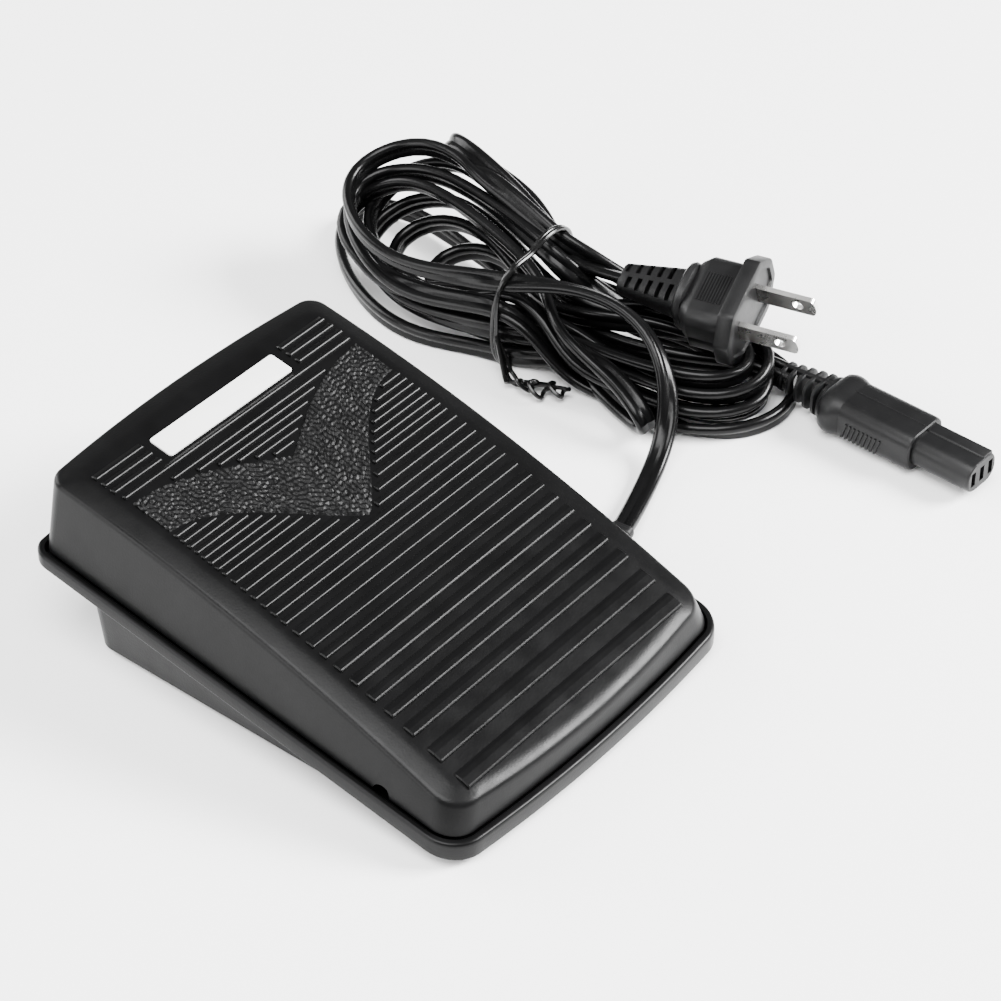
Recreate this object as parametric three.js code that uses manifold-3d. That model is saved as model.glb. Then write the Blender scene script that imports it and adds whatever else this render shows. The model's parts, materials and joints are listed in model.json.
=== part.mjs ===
// Sewing machine foot pedal with its bundled cord, mains plug and machine connector.
// Millimetres, +Z up. +Y runs to the high (toe) end, +X to the side where the cord leaves.
// The origin is under the middle of the pedal's own box, on the floor.
import * as THREE from 'three';
import { mergeVertices } from 'three/addons/utils/BufferGeometryUtils.js';
import Module from 'manifold-3d';

const wasm = await Module();
wasm.setup();

// ---- driving dimensions -------------------------------------------------------------
const FOOT_GAP = 0.9;                 // rubber feet hold the tray this far off the floor
const WALL = 2.2;                     // moulded wall thickness
const GAP = 0.4;                      // clearance between the cover's skirt and the rim
const TOUCH = 0.3;                    // clearance between pieces that rest on each other

const RIM = { half: 53, low: 67.7, lowBow: 2, lowR: 9.6, high: 67.7, highBow: 2, highR: 5 };
const RIM_LEDGE = 1.9;                // width of the rim's top edge
const RIM_SLOPE = 0.1674;             // the rim's underside climbs to the toe end
const RIM_TOP_SLOPE = 0.1588;
const RIM_BOTTOM_Z = 12.9;            // at the middle of the pedal
const RIM_TOP_Z = 17.6;
const SHELF = 1.2;                    // thickness of the step under the cover's skirt

const TOP_Z = 37.1;                   // the cover's top at the middle
const TOP_SLOPE = 0.2723;
const TOP_CURVE = -0.00106;
const BEVEL_DROP = 1.5;
const LABEL = { x: 22.3, low: 47.4, high: 55, deep: 0.5 };

const FOOT_BOX = { half: 47.4, low: 60, lowBow: 0.01, lowR: 6, high: 53, highBow: 0.01, highR: 5 };
const CAVITY = { half: 45.2, low: 57.5, lowBow: 0.01, lowR: 4, high: 51, highBow: 0.01, highR: 3.5 };
const FLOOR_Z = FOOT_GAP + 2;         // inside floor of the tray

const HINGE = { y: -42.7, z: 9, pinR: 1.5, boreR: 1.85 };
const SPRING = { x: 22, y: 40, low: 14, high: 33, r: 5, wire: 1.2, turns: 5 };
const BOARD = { x: -4, y: 4, w: 64, d: 50, z: 8, t: 1.6 };
const LEVER = { x: 12.6, y: 12, z: 24, reach: 7, tipR: 2 };
const EXIT = { x: 47.2, y: -27, z: 4.6 };
const CLAMP = { z: 6.1, t: 2.4 };
const CORD = { wide: 5.9, thick: 3 };

const BLACK = { color: 0x17181a, roughness: 0.45, metalness: 0 };
const STEEL = { color: 0xb9bcc0, roughness: 0.3, metalness: 1 };
const NICKEL = { color: 0xcfd2d4, roughness: 0.22, metalness: 1 };
const RUBBER = { color: 0x101010, roughness: 0.8, metalness: 0 };
const CORD_BLACK = { color: 0x141416, roughness: 0.5, metalness: 0 };

const rimBottom = (y) => RIM_BOTTOM_Z + RIM_SLOPE * y;
const rimTop = (y) => RIM_TOP_Z + RIM_TOP_SLOPE * y;
const coverTop = (y) => TOP_Z + TOP_SLOPE * y + TOP_CURVE * y * y;

// ---- solids -------------------------------------------------------------------------
function solid(geometry, matrix) {
  const g = geometry.clone();
  if (matrix) g.applyMatrix4(matrix);
  g.deleteAttribute('normal');
  g.deleteAttribute('uv');
  const m = mergeVertices(g, 1e-4);
  return new wasm.Manifold(new wasm.Mesh({
    numProp: 3,
    vertProperties: Float32Array.from(m.attributes.position.array),
    triVerts: Uint32Array.from(m.index.array),
  }));
}

function geometryOf(manifold) {
  const m = manifold.getMesh();
  const g = new THREE.BufferGeometry();
  g.setAttribute('position', new THREE.BufferAttribute(Float32Array.from(m.vertProperties), 3));
  g.setIndex(new THREE.BufferAttribute(Uint32Array.from(m.triVerts), 1));
  const flat = g.toNonIndexed();
  flat.computeVertexNormals();
  return flat;
}

const at = (x, y, z) => new THREE.Matrix4().makeTranslation(x, y, z);
const turn = (x, y, z) => new THREE.Matrix4().makeRotationFromEuler(new THREE.Euler(x, y, z));

// Lays a shape drawn in XY across the +X axis: its x along Y, its y along Z.
const alongX = turn(Math.PI / 2, Math.PI / 2, 0);

function block(x0, x1, y0, y1, z0, z1) {
  const g = new THREE.BoxGeometry(x1 - x0, y1 - y0, z1 - z0);
  return solid(g, at((x0 + x1) / 2, (y0 + y1) / 2, (z0 + z1) / 2));
}

function rod(axis, r, from, to, a, b, sides = 20) {
  const g = new THREE.CylinderGeometry(r, r, to - from, sides);
  const mid = (from + to) / 2;
  if (axis === 'x') return solid(g, at(mid, a, b).multiply(turn(0, 0, Math.PI / 2)));
  if (axis === 'y') return solid(g, at(a, mid, b));
  return solid(g, at(a, b, mid).multiply(turn(Math.PI / 2, 0, 0)));
}

function union(...parts) {
  return parts.reduce((a, b) => a.add(b));
}

// A closed outline in plan, anticlockwise, with bowed ends and rounded corners. Points i and
// n - 1 - i mirror each other in X, so that a cap can be laid as a ladder of strips.
function outline({ half, low, lowBow, lowR, high, highBow, highR }, sideSteps = 7) {
  const right = [];
  const endSteps = 3;
  for (let j = 0; j < endSteps; j++) {
    const t = (j + 0.5) / endSteps;
    right.push([t * (half - lowR), -low - lowBow * (1 - t * t)]);
  }
  for (let j = 0; j <= 4; j++) {
    const a = (j / 4 - 1) * Math.PI / 2;
    right.push([half - lowR + lowR * Math.cos(a), -low + lowR + lowR * Math.sin(a)]);
  }
  const y0 = -low + lowR;
  const y1 = high - highR;
  for (let j = 1; j < sideSteps; j++) right.push([half, y0 + (y1 - y0) * j / sideSteps]);
  for (let j = 0; j <= 4; j++) {
    const a = j / 4 * Math.PI / 2;
    right.push([half - highR + highR * Math.cos(a), high - highR + highR * Math.sin(a)]);
  }
  for (let j = endSteps - 1; j >= 0; j--) {
    const t = (j + 0.5) / endSteps;
    right.push([t * (half - highR), high + highBow * (1 - t * t)]);
  }
  const left = right.map(([x, y]) => [-x, y]).reverse();
  return right.concat(left);
}

const shrink = (o, d) => ({
  ...o, half: o.half - d, low: o.low - d, high: o.high - d,
  lowR: Math.max(o.lowR - d, 1), highR: Math.max(o.highR - d, 1),
});

// A solid through stacked rings of equal count, each a plan outline with a height function.
function loft(rings) {
  const n = rings[0].points.length;
  const position = [];
  for (const { points, z } of rings) for (const [x, y] of points) position.push(x, y, z(y));
  const index = [];
  for (let k = 0; k + 1 < rings.length; k++) {
    for (let i = 0; i < n; i++) {
      const a = k * n + i;
      const b = k * n + (i + 1) % n;
      index.push(a, b, b + n, a, b + n, a + n);
    }
  }
  const last = (rings.length - 1) * n;
  for (let i = 0; i + 1 < n / 2; i++) {
    const [a, b, c, d] = [i, i + 1, n - 2 - i, n - 1 - i];
    index.push(a, c, b, a, d, c);
    index.push(last + a, last + b, last + c, last + a, last + c, last + d);
  }
  const g = new THREE.BufferGeometry();
  g.setAttribute('position', new THREE.Float32BufferAttribute(position, 3));
  g.setIndex(index);
  return solid(g);
}

function roundedBox(w, h, r) {
  const s = new THREE.Shape();
  const [x, y] = [w / 2 - r, h / 2 - r];
  s.absarc(x, -y, r, -Math.PI / 2, 0);
  s.absarc(x, y, r, 0, Math.PI / 2);
  s.absarc(-x, y, r, Math.PI / 2, Math.PI);
  s.absarc(-x, -y, r, Math.PI, 1.5 * Math.PI);
  s.closePath();
  return s;
}

function bar(shape, depth, matrix, curveSegments = 3) {
  const g = new THREE.ExtrudeGeometry(shape, { depth, bevelEnabled: false, curveSegments });
  return solid(g, matrix);
}

// ---- the scene graph ----------------------------------------------------------------
const group = new THREE.Group();

function add(name, shape, look, matrix) {
  const geometry = geometryOf(shape);
  const mesh = new THREE.Mesh(geometry, new THREE.MeshStandardMaterial(look));
  mesh.name = name;
  if (matrix) mesh.applyMatrix4(matrix);
  group.add(mesh);
}

// ---- base tray ----------------------------------------------------------------------
function baseTray() {
  const rimLift = (d) => (y) => rimTop(y) + d;
  const rim = loft([
    { points: outline(RIM), z: rimBottom },
    { points: outline(RIM), z: rimLift(-0.9) },
    { points: outline(shrink(RIM, 0.7)), z: rimLift(0) },
  ]);
  const foot = loft([
    { points: outline(shrink(FOOT_BOX, 0.8)), z: () => FOOT_GAP },
    { points: outline(FOOT_BOX), z: () => FOOT_GAP + 0.9 },
    { points: outline({ ...shrink(FOOT_BOX, -1.4), low: 60 }), z: (y) => Math.max(rimBottom(y) + 0.6, 2.6) },
  ]);
  const channel = loft([
    { points: outline(shrink(RIM, RIM_LEDGE)), z: (y) => rimBottom(y) + SHELF },
    { points: outline(shrink(RIM, RIM_LEDGE)), z: () => 60 },
  ]);
  const cavity = loft([
    { points: outline(CAVITY), z: () => FLOOR_Z },
    { points: outline(CAVITY), z: () => 60 },
  ]);
  let tray = rim.add(foot).subtract(channel).subtract(cavity);
  for (const s of [-1, 1]) {
    const [x0, x1] = [38.8 * s - 1.8, 38.8 * s + 1.8];
    tray = tray.add(block(x0, x1, HINGE.y - 4, HINGE.y + 4, FLOOR_Z - 0.5, 13));
    tray = tray.subtract(rod('x', HINGE.boreR, x0 - 1, x1 + 1, HINGE.y, HINGE.z, 16));
    tray = tray.add(rod('z', 7, FLOOR_Z - 0.5, SPRING.low, SPRING.x * s, SPRING.y, 16));
    tray = tray.add(rod('z', 2.6, SPRING.low - 1, SPRING.low + 4, SPRING.x * s, SPRING.y, 12));
    for (const t of [-1, 1]) {
      const [px, py] = [BOARD.x + 28 * s, BOARD.y + 21 * t];
      tray = tray.add(rod('z', 3.2, FLOOR_Z - 0.5, BOARD.z - TOUCH, px, py, 12));
      tray = tray.subtract(rod('z', 1.5, FLOOR_Z + 0.6, BOARD.z + 1, px, py, 12));
    }
    tray = tray.add(rod('z', 3, FLOOR_Z - 0.5, CLAMP.z, 37, EXIT.y + 7.5 * s, 12));
    tray = tray.subtract(rod('z', 1.4, FLOOR_Z + 0.6, 8, 37, EXIT.y + 7.5 * s, 12));
  }
  for (const [x, y] of footPlaces()) tray = tray.subtract(rod('z', 6.3, 0, 2.0, x, y, 20));
  const hole = bar(roundedBox(9.6, 5.2, 2.2), 12, at(40, EXIT.y + 0.4, EXIT.z).multiply(alongX));
  return tray.subtract(hole);
}

function footPlaces() {
  return [[-36, -50], [36, -50], [-36, 43], [36, 43]];
}

// ---- cover --------------------------------------------------------------------------
const COVER_FOOT = {
  half: RIM.half - RIM_LEDGE - GAP, low: 65.4, lowBow: 2, lowR: 7.6, high: 65.3, highBow: 2, highR: 3.4,
};
const COVER_CREASE = { half: 48, low: 64.2, lowBow: 2.8, lowR: 8, high: 64.5, highBow: 2, highR: 5 };
const COVER_FLAT = { half: 42.3, low: 62.2, lowBow: 2.6, lowR: 5, high: 61.5, highBow: 2, highR: 4 };

// Rib lines across the top: pitch shrinks from the heel end to the toe end.
function ribPlaces() {
  const places = [-59.9, -51.7, -43.4, -37.1, -31.8, -26.5, -21.5];
  while (places.at(-1) < 55) {
    const pitch = Math.max(3, 4.9 - 0.35 * (places.length - 7));
    places.push(places.at(-1) + pitch);
  }
  return places.filter((y) => y < LABEL.low - 2 || y > LABEL.high + 1.5);
}

function topCover() {
  const crease = (d) => (y) => coverTop(y) - BEVEL_DROP - d;
  let cover = loft([
    { points: outline(COVER_FOOT), z: rimTop },
    { points: outline(COVER_CREASE), z: crease(0) },
    { points: outline(COVER_FLAT), z: coverTop },
  ]);
  const inside = loft([
    { points: outline(shrink(COVER_FOOT, WALL)), z: (y) => rimTop(y) - 3 },
    { points: outline(shrink(COVER_FOOT, WALL)), z: (y) => rimTop(y) },
    { points: outline(shrink(COVER_CREASE, WALL)), z: crease(WALL - 0.4) },
    { points: outline(shrink(COVER_FLAT, WALL - 1)), z: (y) => coverTop(y) - WALL },
  ]);
  cover = cover.subtract(inside);
  for (const y of ribPlaces()) {
    const slope = Math.atan(TOP_SLOPE + 2 * TOP_CURVE * y);
    const rib = new THREE.BoxGeometry(82, 1.3, 1.6);
    cover = cover.add(solid(rib, at(0, y, coverTop(y) - 0.2).multiply(turn(slope, 0, 0))));
  }
  const window = block(-60, 60, HINGE.y - 3, HINGE.y + 3, 4, rimTop(HINGE.y) + 2.4);
  cover = cover.subtract(window.subtract(block(-46.5, 46.5, -60, 60, 0, 60)));
  for (const s of [-1, 1]) {
    const [x0, x1] = [43 * s - 1.6, 43 * s + 1.6];
    cover = cover.add(block(x0, x1, HINGE.y - 4, HINGE.y + 4, 5.6, coverTop(HINGE.y) - 2.6));
    cover = cover.subtract(rod('x', HINGE.boreR, x0 - 0.5, x1 + 0.5, HINGE.y, HINGE.z, 16));
    cover = cover.add(rod('z', 7, SPRING.high, coverTop(SPRING.y) - 1, SPRING.x * s, SPRING.y, 16));
    cover = cover.add(rod('z', 2.6, SPRING.high - 4, SPRING.high + 1, SPRING.x * s, SPRING.y, 12));
  }
  const postY = LEVER.y - LEVER.reach;
  cover = cover.add(rod('z', 2.5, LEVER.z + LEVER.tipR + 0.5, coverTop(postY) - 1, LEVER.x, postY, 12));
  return cover.subtract(labelRecess());
}

const labelTilt = Math.atan(TOP_SLOPE + 2 * TOP_CURVE * 51.2);

function labelRecess() {
  const g = new THREE.BoxGeometry(2 * LABEL.x + 0.6, LABEL.high - LABEL.low + 0.6, 2);
  const z = coverTop(51.2) + 1 - LABEL.deep;
  return solid(g, at(0, 51.2, z).multiply(turn(labelTilt, 0, 0)));
}

function labelPlate() {
  const g = new THREE.BoxGeometry(2 * LABEL.x, LABEL.high - LABEL.low, 0.5);
  return solid(g, at(0, 51.2, coverTop(51.2) + 0.1).multiply(turn(labelTilt, 0, 0)));
}

// ---- springs ------------------------------------------------------------------------
class Helix extends THREE.Curve {
  constructor(x, y, z0, z1, r, turns) {
    super();
    Object.assign(this, { x, y, z0, z1, r, turns });
  }

  getPoint(t, target = new THREE.Vector3()) {
    const a = t * this.turns * 2 * Math.PI;
    return target.set(
      this.x + this.r * Math.cos(a), this.y + this.r * Math.sin(a), this.z0 + (this.z1 - this.z0) * t,
    );
  }
}

function sweep(curve, shape, steps, curveSegments = 2) {
  const path = { extrudePath: curve, steps, bevelEnabled: false, curveSegments };
  return solid(new THREE.ExtrudeGeometry(shape, path));
}

function disc(r, sides) {
  const s = new THREE.Shape();
  for (let i = 0; i < sides; i++) {
    const a = 2 * Math.PI * i / sides;
    if (i) s.lineTo(r * Math.cos(a), r * Math.sin(a));
    else s.moveTo(r, 0);
  }
  s.closePath();
  return s;
}

function returnSpring(x) {
  const [z0, z1] = [SPRING.low + TOUCH + SPRING.wire / 2, SPRING.high - TOUCH - SPRING.wire / 2];
  const coil = new Helix(x, SPRING.y, z0, z1, SPRING.r, SPRING.turns);
  return sweep(coil, disc(SPRING.wire / 2, 5), SPRING.turns * 10);
}

// ---- electronics --------------------------------------------------------------------
const BOARD_TOP = BOARD.z + BOARD.t;
const ON_BOARD = BOARD_TOP + TOUCH;

function circuitBoard() {
  const [w, d] = [BOARD.w / 2, BOARD.d / 2];
  let board = block(BOARD.x - w, BOARD.x + w, BOARD.y - d, BOARD.y + d, BOARD.z, BOARD_TOP);
  for (const s of [-1, 1]) {
    board = board.subtract(rod('z', 1.7, 0, 20, BOARD.x + 28 * s, BOARD.y + 21 * s, 12));
  }
  return board;
}

function screw(x, y, z, headR, shankR, length) {
  const slot = block(x - headR, x + headR, y - 0.4, y + 0.4, z + 1.1, z + 3);
  const head = rod('z', headR, z, z + 1.8, x, y, 16);
  return head.add(rod('z', shankR, z - length, z + 0.5, x, y, 10)).subtract(slot);
}

function speedControl() {
  const body = block(LEVER.x - 14, LEVER.x - 2.9, LEVER.y - 7, LEVER.y + 7, ON_BOARD, LEVER.z + 6);
  return body.subtract(rod('x', 2.4, LEVER.x - 9, LEVER.x, LEVER.y, LEVER.z, 16));
}

function speedLever() {
  const [x0, x1] = [LEVER.x - 1.8, LEVER.x + 1.8];
  const tipY = LEVER.y - LEVER.reach;
  const hub = rod('x', 4.2, x0, x1, LEVER.y, LEVER.z, 20);
  const tip = rod('x', LEVER.tipR, x0, x1, tipY, LEVER.z, 16);
  const arm = block(x0, x1, tipY, LEVER.y, LEVER.z - 1.7, LEVER.z + 1.7);
  return union(hub, tip, arm, rod('x', 2, LEVER.x - 8, x0 + 0.5, LEVER.y, LEVER.z, 16));
}

function triac() {
  const body = block(-27, -17, 18, 22.6, ON_BOARD + 2.5, ON_BOARD + 12);
  const legs = [-24.5, -22, -19.5].map((x) => block(x - 0.4, x + 0.4, 19.9, 20.7, ON_BOARD, ON_BOARD + 3));
  return union(body, ...legs);
}

function heatSink() {
  const plate = block(-31, -13, 23, 24.5, ON_BOARD, ON_BOARD + 16);
  return plate.add(block(-31, -13, 24, 28, ON_BOARD + 14.5, ON_BOARD + 16));
}

function filmCapacitor() {
  return bar(roundedBox(18, 8, 1), 13, at(-18, 3, ON_BOARD), 2);
}

function choke() {
  const g = new THREE.TorusGeometry(6.2, 2.8, 8, 18);
  return solid(g, at(-20, -12, ON_BOARD + 2.9));
}

function resistor(x) {
  const wire = rod('y', 0.4, -19, -5, x, ON_BOARD + 2.4, 8);
  const ends = [-18.6, -5.4].map((y) => rod('z', 0.4, ON_BOARD, ON_BOARD + 2.7, x, y, 8));
  return union(rod('y', 1.9, -16, -8, x, ON_BOARD + 2.4, 12), wire, ...ends);
}

function terminalBlock() {
  let body = block(14, 27, -18, -8, ON_BOARD, ON_BOARD + 9.5);
  for (const y of [-15.5, -10.5]) {
    body = body.subtract(rod('z', 1.8, ON_BOARD + 6, 30, 20.5, y, 12));
    body = body.subtract(block(22, 28, y - 1.5, y + 1.5, ON_BOARD + 1.5, ON_BOARD + 4.5));
  }
  return body;
}

// ---- cord entry ---------------------------------------------------------------------
function cordBushing() {
  const start = 43.4;
  const yaw = at(start, EXIT.y, EXIT.z).multiply(turn(0, 0, 0.12)).multiply(alongX);
  const neck = bar(roundedBox(8, 4.6, 1.9), 6, yaw, 1);
  const inner = bar(roundedBox(11, 4.4, 1.6), 1.4, at(start - 1.4, EXIT.y, EXIT.z + 0.9).multiply(alongX));
  let piece = neck.add(inner);
  const steps = 4;
  for (let i = 0; i < steps; i++) {
    const shape = roundedBox(7.8 - 0.35 * i, 4.5 - 0.22 * i, 1.6);
    piece = piece.add(bar(shape, 4.6, yaw.clone().multiply(at(0, 0, 5.5 + 4.3 * i)), 1));
  }
  return piece;
}

function cordClamp() {
  let clamp = bar(roundedBox(7, 23, 2), CLAMP.t, at(37, EXIT.y, CLAMP.z + TOUCH));
  for (const s of [-1, 1]) clamp = clamp.subtract(rod('z', 1.7, 0, 20, 37, EXIT.y + 7.5 * s, 12));
  return clamp;
}

function cordTail() {
  return bar(roundedBox(CORD.wide, CORD.thick, 1.4), 15, at(26.5, EXIT.y, EXIT.z).multiply(alongX));
}

// Insulated leads from the cord's tail, up past the board's edge and into the terminal block.
const LEADS = {
  white: [
    [26, -25.5, 4.6], [22.5, -25.2, 5.5], [23, -24, 10], [28.5, -21, 14], [31.8, -17.5, 14.2],
    [31, -15.5, 13.1], [27.6, -15.5, 12.9], [24, -15.5, 12.9],
  ],
  brown: [
    [26, -28.5, 4.6], [20.5, -28.8, 5.5], [19.5, -27, 11], [26, -25.8, 16.8], [34, -20, 17],
    [36.5, -13, 15], [33.5, -10.5, 13.2], [27.6, -10.5, 12.9], [24, -10.5, 12.9],
  ],
};

function lead(points) {
  const curve = new THREE.CatmullRomCurve3(points.map((p) => new THREE.Vector3(...p)));
  return sweep(curve, disc(0.9, 6), 20);
}

// ---- cord, bundle and tie -----------------------------------------------------------
// The flat cord's section is turned so that its wide side lies level along the route.
const PEDAL_LEAD = [
  [66.9, -24.3, 4.5], [70, -23.8, 4.1], [75, -22.4, 2.7], [80, -20.7, 1.8], [85, -18.6, 1.6],
  [90, -16.2, 1.6], [96, -13, 1.7], [102, -10, 1.9],
];
const MAINS_LEAD = [[130.4, 26.8, 24.2], [128.8, 30, 24.6], [126.5, 33.4, 25.2], [124, 36.5, 25.9]];

function levelFrames(curve, steps) {
  const frames = { tangents: [], normals: [], binormals: [] };
  for (let i = 0; i <= steps; i++) {
    const tangent = curve.getTangentAt(i / steps);
    const side = new THREE.Vector3().crossVectors(tangent, new THREE.Vector3(0, 0, 1)).normalize();
    frames.tangents.push(tangent);
    frames.normals.push(new THREE.Vector3().crossVectors(side, tangent));
    frames.binormals.push(side);
  }
  return frames;
}

function flatCord(points, steps) {
  const curve = new THREE.CatmullRomCurve3(points.map((p) => new THREE.Vector3(...p)));
  curve.computeFrenetFrames = (count) => levelFrames(curve, count);
  const s = new THREE.Shape();
  const [a, b] = [CORD.thick / 2, CORD.wide / 2];
  s.moveTo(a, -b + 1.3);
  s.lineTo(a, b - 1.3);
  s.lineTo(a - 1.2, b);
  s.lineTo(-a + 1.2, b);
  s.lineTo(-a, b - 1.3);
  s.lineTo(-a, -b + 1.3);
  s.lineTo(-a + 1.2, -b);
  s.lineTo(a - 1.2, -b);
  s.closePath();
  return sweep(curve, s, steps);
}

// A bundle seen from above: a round end at each end and a waist where the tie holds it.
const TIE_Y = 43;
function bundle(low, high, waist, z0, z1) {
  const s = new THREE.Shape();
  s.absarc(low.x, low.y, low.r, Math.PI, 2 * Math.PI);
  s.quadraticCurveTo(low.x + low.r, low.y + 18, waist.x1, TIE_Y);
  s.quadraticCurveTo(high.x + high.r, high.y - 18, high.x + high.r, high.y);
  s.absarc(high.x, high.y, high.r, 0, Math.PI);
  s.quadraticCurveTo(high.x - high.r, high.y - 18, waist.x0, TIE_Y);
  s.quadraticCurveTo(low.x - low.r, low.y + 18, low.x - low.r, low.y);
  return bar(s, z1 - z0, at(0, 0, z0), 8);
}

function pedalBundle() {
  return bundle({ x: 124, y: -4, r: 20.5 }, { x: 121, y: 102.5, r: 23 }, { x0: 106, x1: 134 }, 0.3, 10.3);
}

function mainsBundle() {
  return bundle({ x: 110, y: 8, r: 9 }, { x: 117, y: 90, r: 21 }, { x0: 106, x1: 122 }, 10.6, 30);
}

function twistTie() {
  const arch = block(103.6, 136.4, TIE_Y - 0.8, TIE_Y + 0.8, 0.4, 32);
  const inside = block(104.8, 135.2, TIE_Y - 2, TIE_Y + 2, 0, 30.8);
  const foot = block(99.5, 104.2, TIE_Y - 0.8, TIE_Y + 0.8, 1, 3);
  const tails = block(99.5, 102.5, 25, TIE_Y, 1, 3).add(foot);
  return arch.subtract(inside).add(tails);
}

// ---- mains plug ---------------------------------------------------------------------
// Built along its own +X (blades forward), +Y across the blades, +Z up, then laid on the bundle.
const PLUG = { x: 138.7, y: -11.3, z: 25.6, yaw: -1.357, pitch: -0.037, roll: 0.358 };
const PLUG_BACK = -17;
const plugPlace = at(PLUG.x, PLUG.y, PLUG.z)
  .multiply(turn(0, 0, PLUG.yaw))
  .multiply(turn(0, PLUG.pitch, 0))
  .multiply(turn(PLUG.roll, 0, 0));
const BLADE = { length: 16.2, width: 6.3, thick: 1.5, spacing: 12.7 };

function plugBody() {
  const flange = new THREE.Shape();
  const corners = [
    [15.8, -3.6], [15.8, 3.6], [9.5, 10.2], [-9.5, 10.2],
    [-15.8, 3.6], [-15.8, -3.6], [-9.5, -10.2], [9.5, -10.2],
  ];
  corners.forEach(([y, z], i) => (i ? flange.lineTo(y, z) : flange.moveTo(y, z)));
  flange.closePath();
  const front = bar(flange, 4.5, at(-4.5, 0, 0).multiply(alongX));
  const body = bar(roundedBox(23, 14, 4), -4 - PLUG_BACK, at(PLUG_BACK, 0, 0).multiply(alongX));
  const collar = bar(roundedBox(17, 14.5, 6), 3.4, at(PLUG_BACK - 3, 0, 0).multiply(alongX), 4);
  let piece = union(front, body, collar);
  for (const s of [-1, 1]) {
    const y = s * BLADE.spacing / 2;
    const [t, h] = [BLADE.thick / 2 + TOUCH, BLADE.width / 2 + TOUCH];
    piece = piece.subtract(block(-6, 1, y - t, y + t, -h, h));
  }
  return piece;
}

function plugBlade(side) {
  const y = side * BLADE.spacing / 2;
  const [h, l] = [BLADE.width / 2, BLADE.length];
  const s = new THREE.Shape();
  s.moveTo(-5, -h);
  s.lineTo(l - 1.4, -h);
  s.quadraticCurveTo(l, -h + 0.4, l, 0);
  s.quadraticCurveTo(l, h - 0.4, l - 1.4, h);
  s.lineTo(-5, h);
  s.closePath();
  const hole = new THREE.Path();
  hole.absarc(l - 5.2, 0, 1.6, 0, 2 * Math.PI, true);
  s.holes.push(hole);
  return bar(s, BLADE.thick, at(0, y + BLADE.thick / 2, 0).multiply(turn(Math.PI / 2, 0, 0)), 6);
}

// A tapered strain relief of ribs on a spine, pointing back along -X from the origin.
function strainRelief(length, wide, thick, ribs) {
  const end = [CORD.wide + 1, CORD.thick + 1];
  let piece = bar(roundedBox(end[0], end[1], 1.6), length, at(-length, 0, 0).multiply(alongX), 1);
  const pitch = length / ribs;
  for (let i = 0; i < ribs; i++) {
    const k = i / (ribs - 1);
    const shape = roundedBox(wide + (end[0] + 1 - wide) * k, thick + (end[1] + 1 - thick) * k, 2);
    piece = piece.add(bar(shape, pitch * 0.6, at(-pitch * (i + 0.62), 0, 0).multiply(alongX), 1));
  }
  return piece;
}

// ---- machine connector --------------------------------------------------------------
const CONNECTOR = { x: 142.1, y: -41.5, z: 6.6, yaw: -1.6 };
const connectorPlace = at(CONNECTOR.x, CONNECTOR.y, CONNECTOR.z).multiply(turn(0, 0, CONNECTOR.yaw));
const NOSE = { start: 25, length: 18, wide: 12.6, thick: 8.8 };
const SOCKETS = [-3.8, 0, 3.8];

function connectorBody() {
  const grip = bar(roundedBox(15.8, 11.6, 3.4), NOSE.start, at(0, 0, 0).multiply(alongX));
  const collar = bar(roundedBox(19.2, 12.6, 5.4), 6.5, at(-5.5, 0, 0).multiply(alongX), 4);
  const section = roundedBox(NOSE.wide, NOSE.thick, 3.5);
  let nose = bar(section, NOSE.length, at(NOSE.start, 0, 0).multiply(alongX), 4);
  for (const y of SOCKETS) {
    const deep = NOSE.start + NOSE.length;
    nose = nose.subtract(block(deep - 12, deep + 1, y - 0.9, y + 0.9, -2.2, 2.2));
  }
  return union(grip, collar, nose);
}

function contact(y) {
  const deep = NOSE.start + NOSE.length;
  return block(deep - 11.6, deep - 2, y - 0.4, y + 0.4, -1.7, 1.7);
}

// ---- assembly -----------------------------------------------------------------------
add('base_tray', baseTray(), BLACK);
add('top_cover', topCover(), BLACK);
add('label_plate', labelPlate(), { color: 0xf2f2ee, roughness: 0.5, metalness: 0 });
add('hinge_pin_left', rod('x', HINGE.pinR, -44.3, -37.4, HINGE.y, HINGE.z, 16), STEEL);
add('hinge_pin_right', rod('x', HINGE.pinR, 37.4, 44.3, HINGE.y, HINGE.z, 16), STEEL);
add('return_spring_left', returnSpring(-SPRING.x), STEEL);
add('return_spring_right', returnSpring(SPRING.x), STEEL);
footPlaces().forEach(([x, y], i) => {
  const name = `rubber_foot_${['low_left', 'low_right', 'high_left', 'high_right'][i]}`;
  add(name, rod('z', 6, 0, 1.7, x, y, 24), RUBBER);
});
add('circuit_board', circuitBoard(), { color: 0x8a6f3a, roughness: 0.6, metalness: 0 });
add('board_screw_low', screw(BOARD.x - 28, BOARD.y - 21, BOARD_TOP + TOUCH, 2.7, 1.1, 5), STEEL);
add('board_screw_high', screw(BOARD.x + 28, BOARD.y + 21, BOARD_TOP + TOUCH, 2.7, 1.1, 5), STEEL);
add('speed_control', speedControl(), { color: 0x2b4a8a, roughness: 0.5, metalness: 0 });
add('speed_lever', speedLever(), { color: 0xe9e6dc, roughness: 0.5, metalness: 0 });
add('triac', triac(), { color: 0x222222, roughness: 0.5, metalness: 0 });
add('heat_sink', heatSink(), { color: 0xc2c4c6, roughness: 0.4, metalness: 1 });
add('film_capacitor', filmCapacitor(), { color: 0xb5442a, roughness: 0.4, metalness: 0 });
add('suppression_choke', choke(), { color: 0x9c5a2a, roughness: 0.4, metalness: 0.6 });
add('resistor_a', resistor(0), { color: 0xcdb78a, roughness: 0.5, metalness: 0 });
add('resistor_b', resistor(-6), { color: 0xcdb78a, roughness: 0.5, metalness: 0 });
add('terminal_block', terminalBlock(), { color: 0x3f7d46, roughness: 0.5, metalness: 0 });
add('cord_bushing', cordBushing(), RUBBER);
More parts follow.
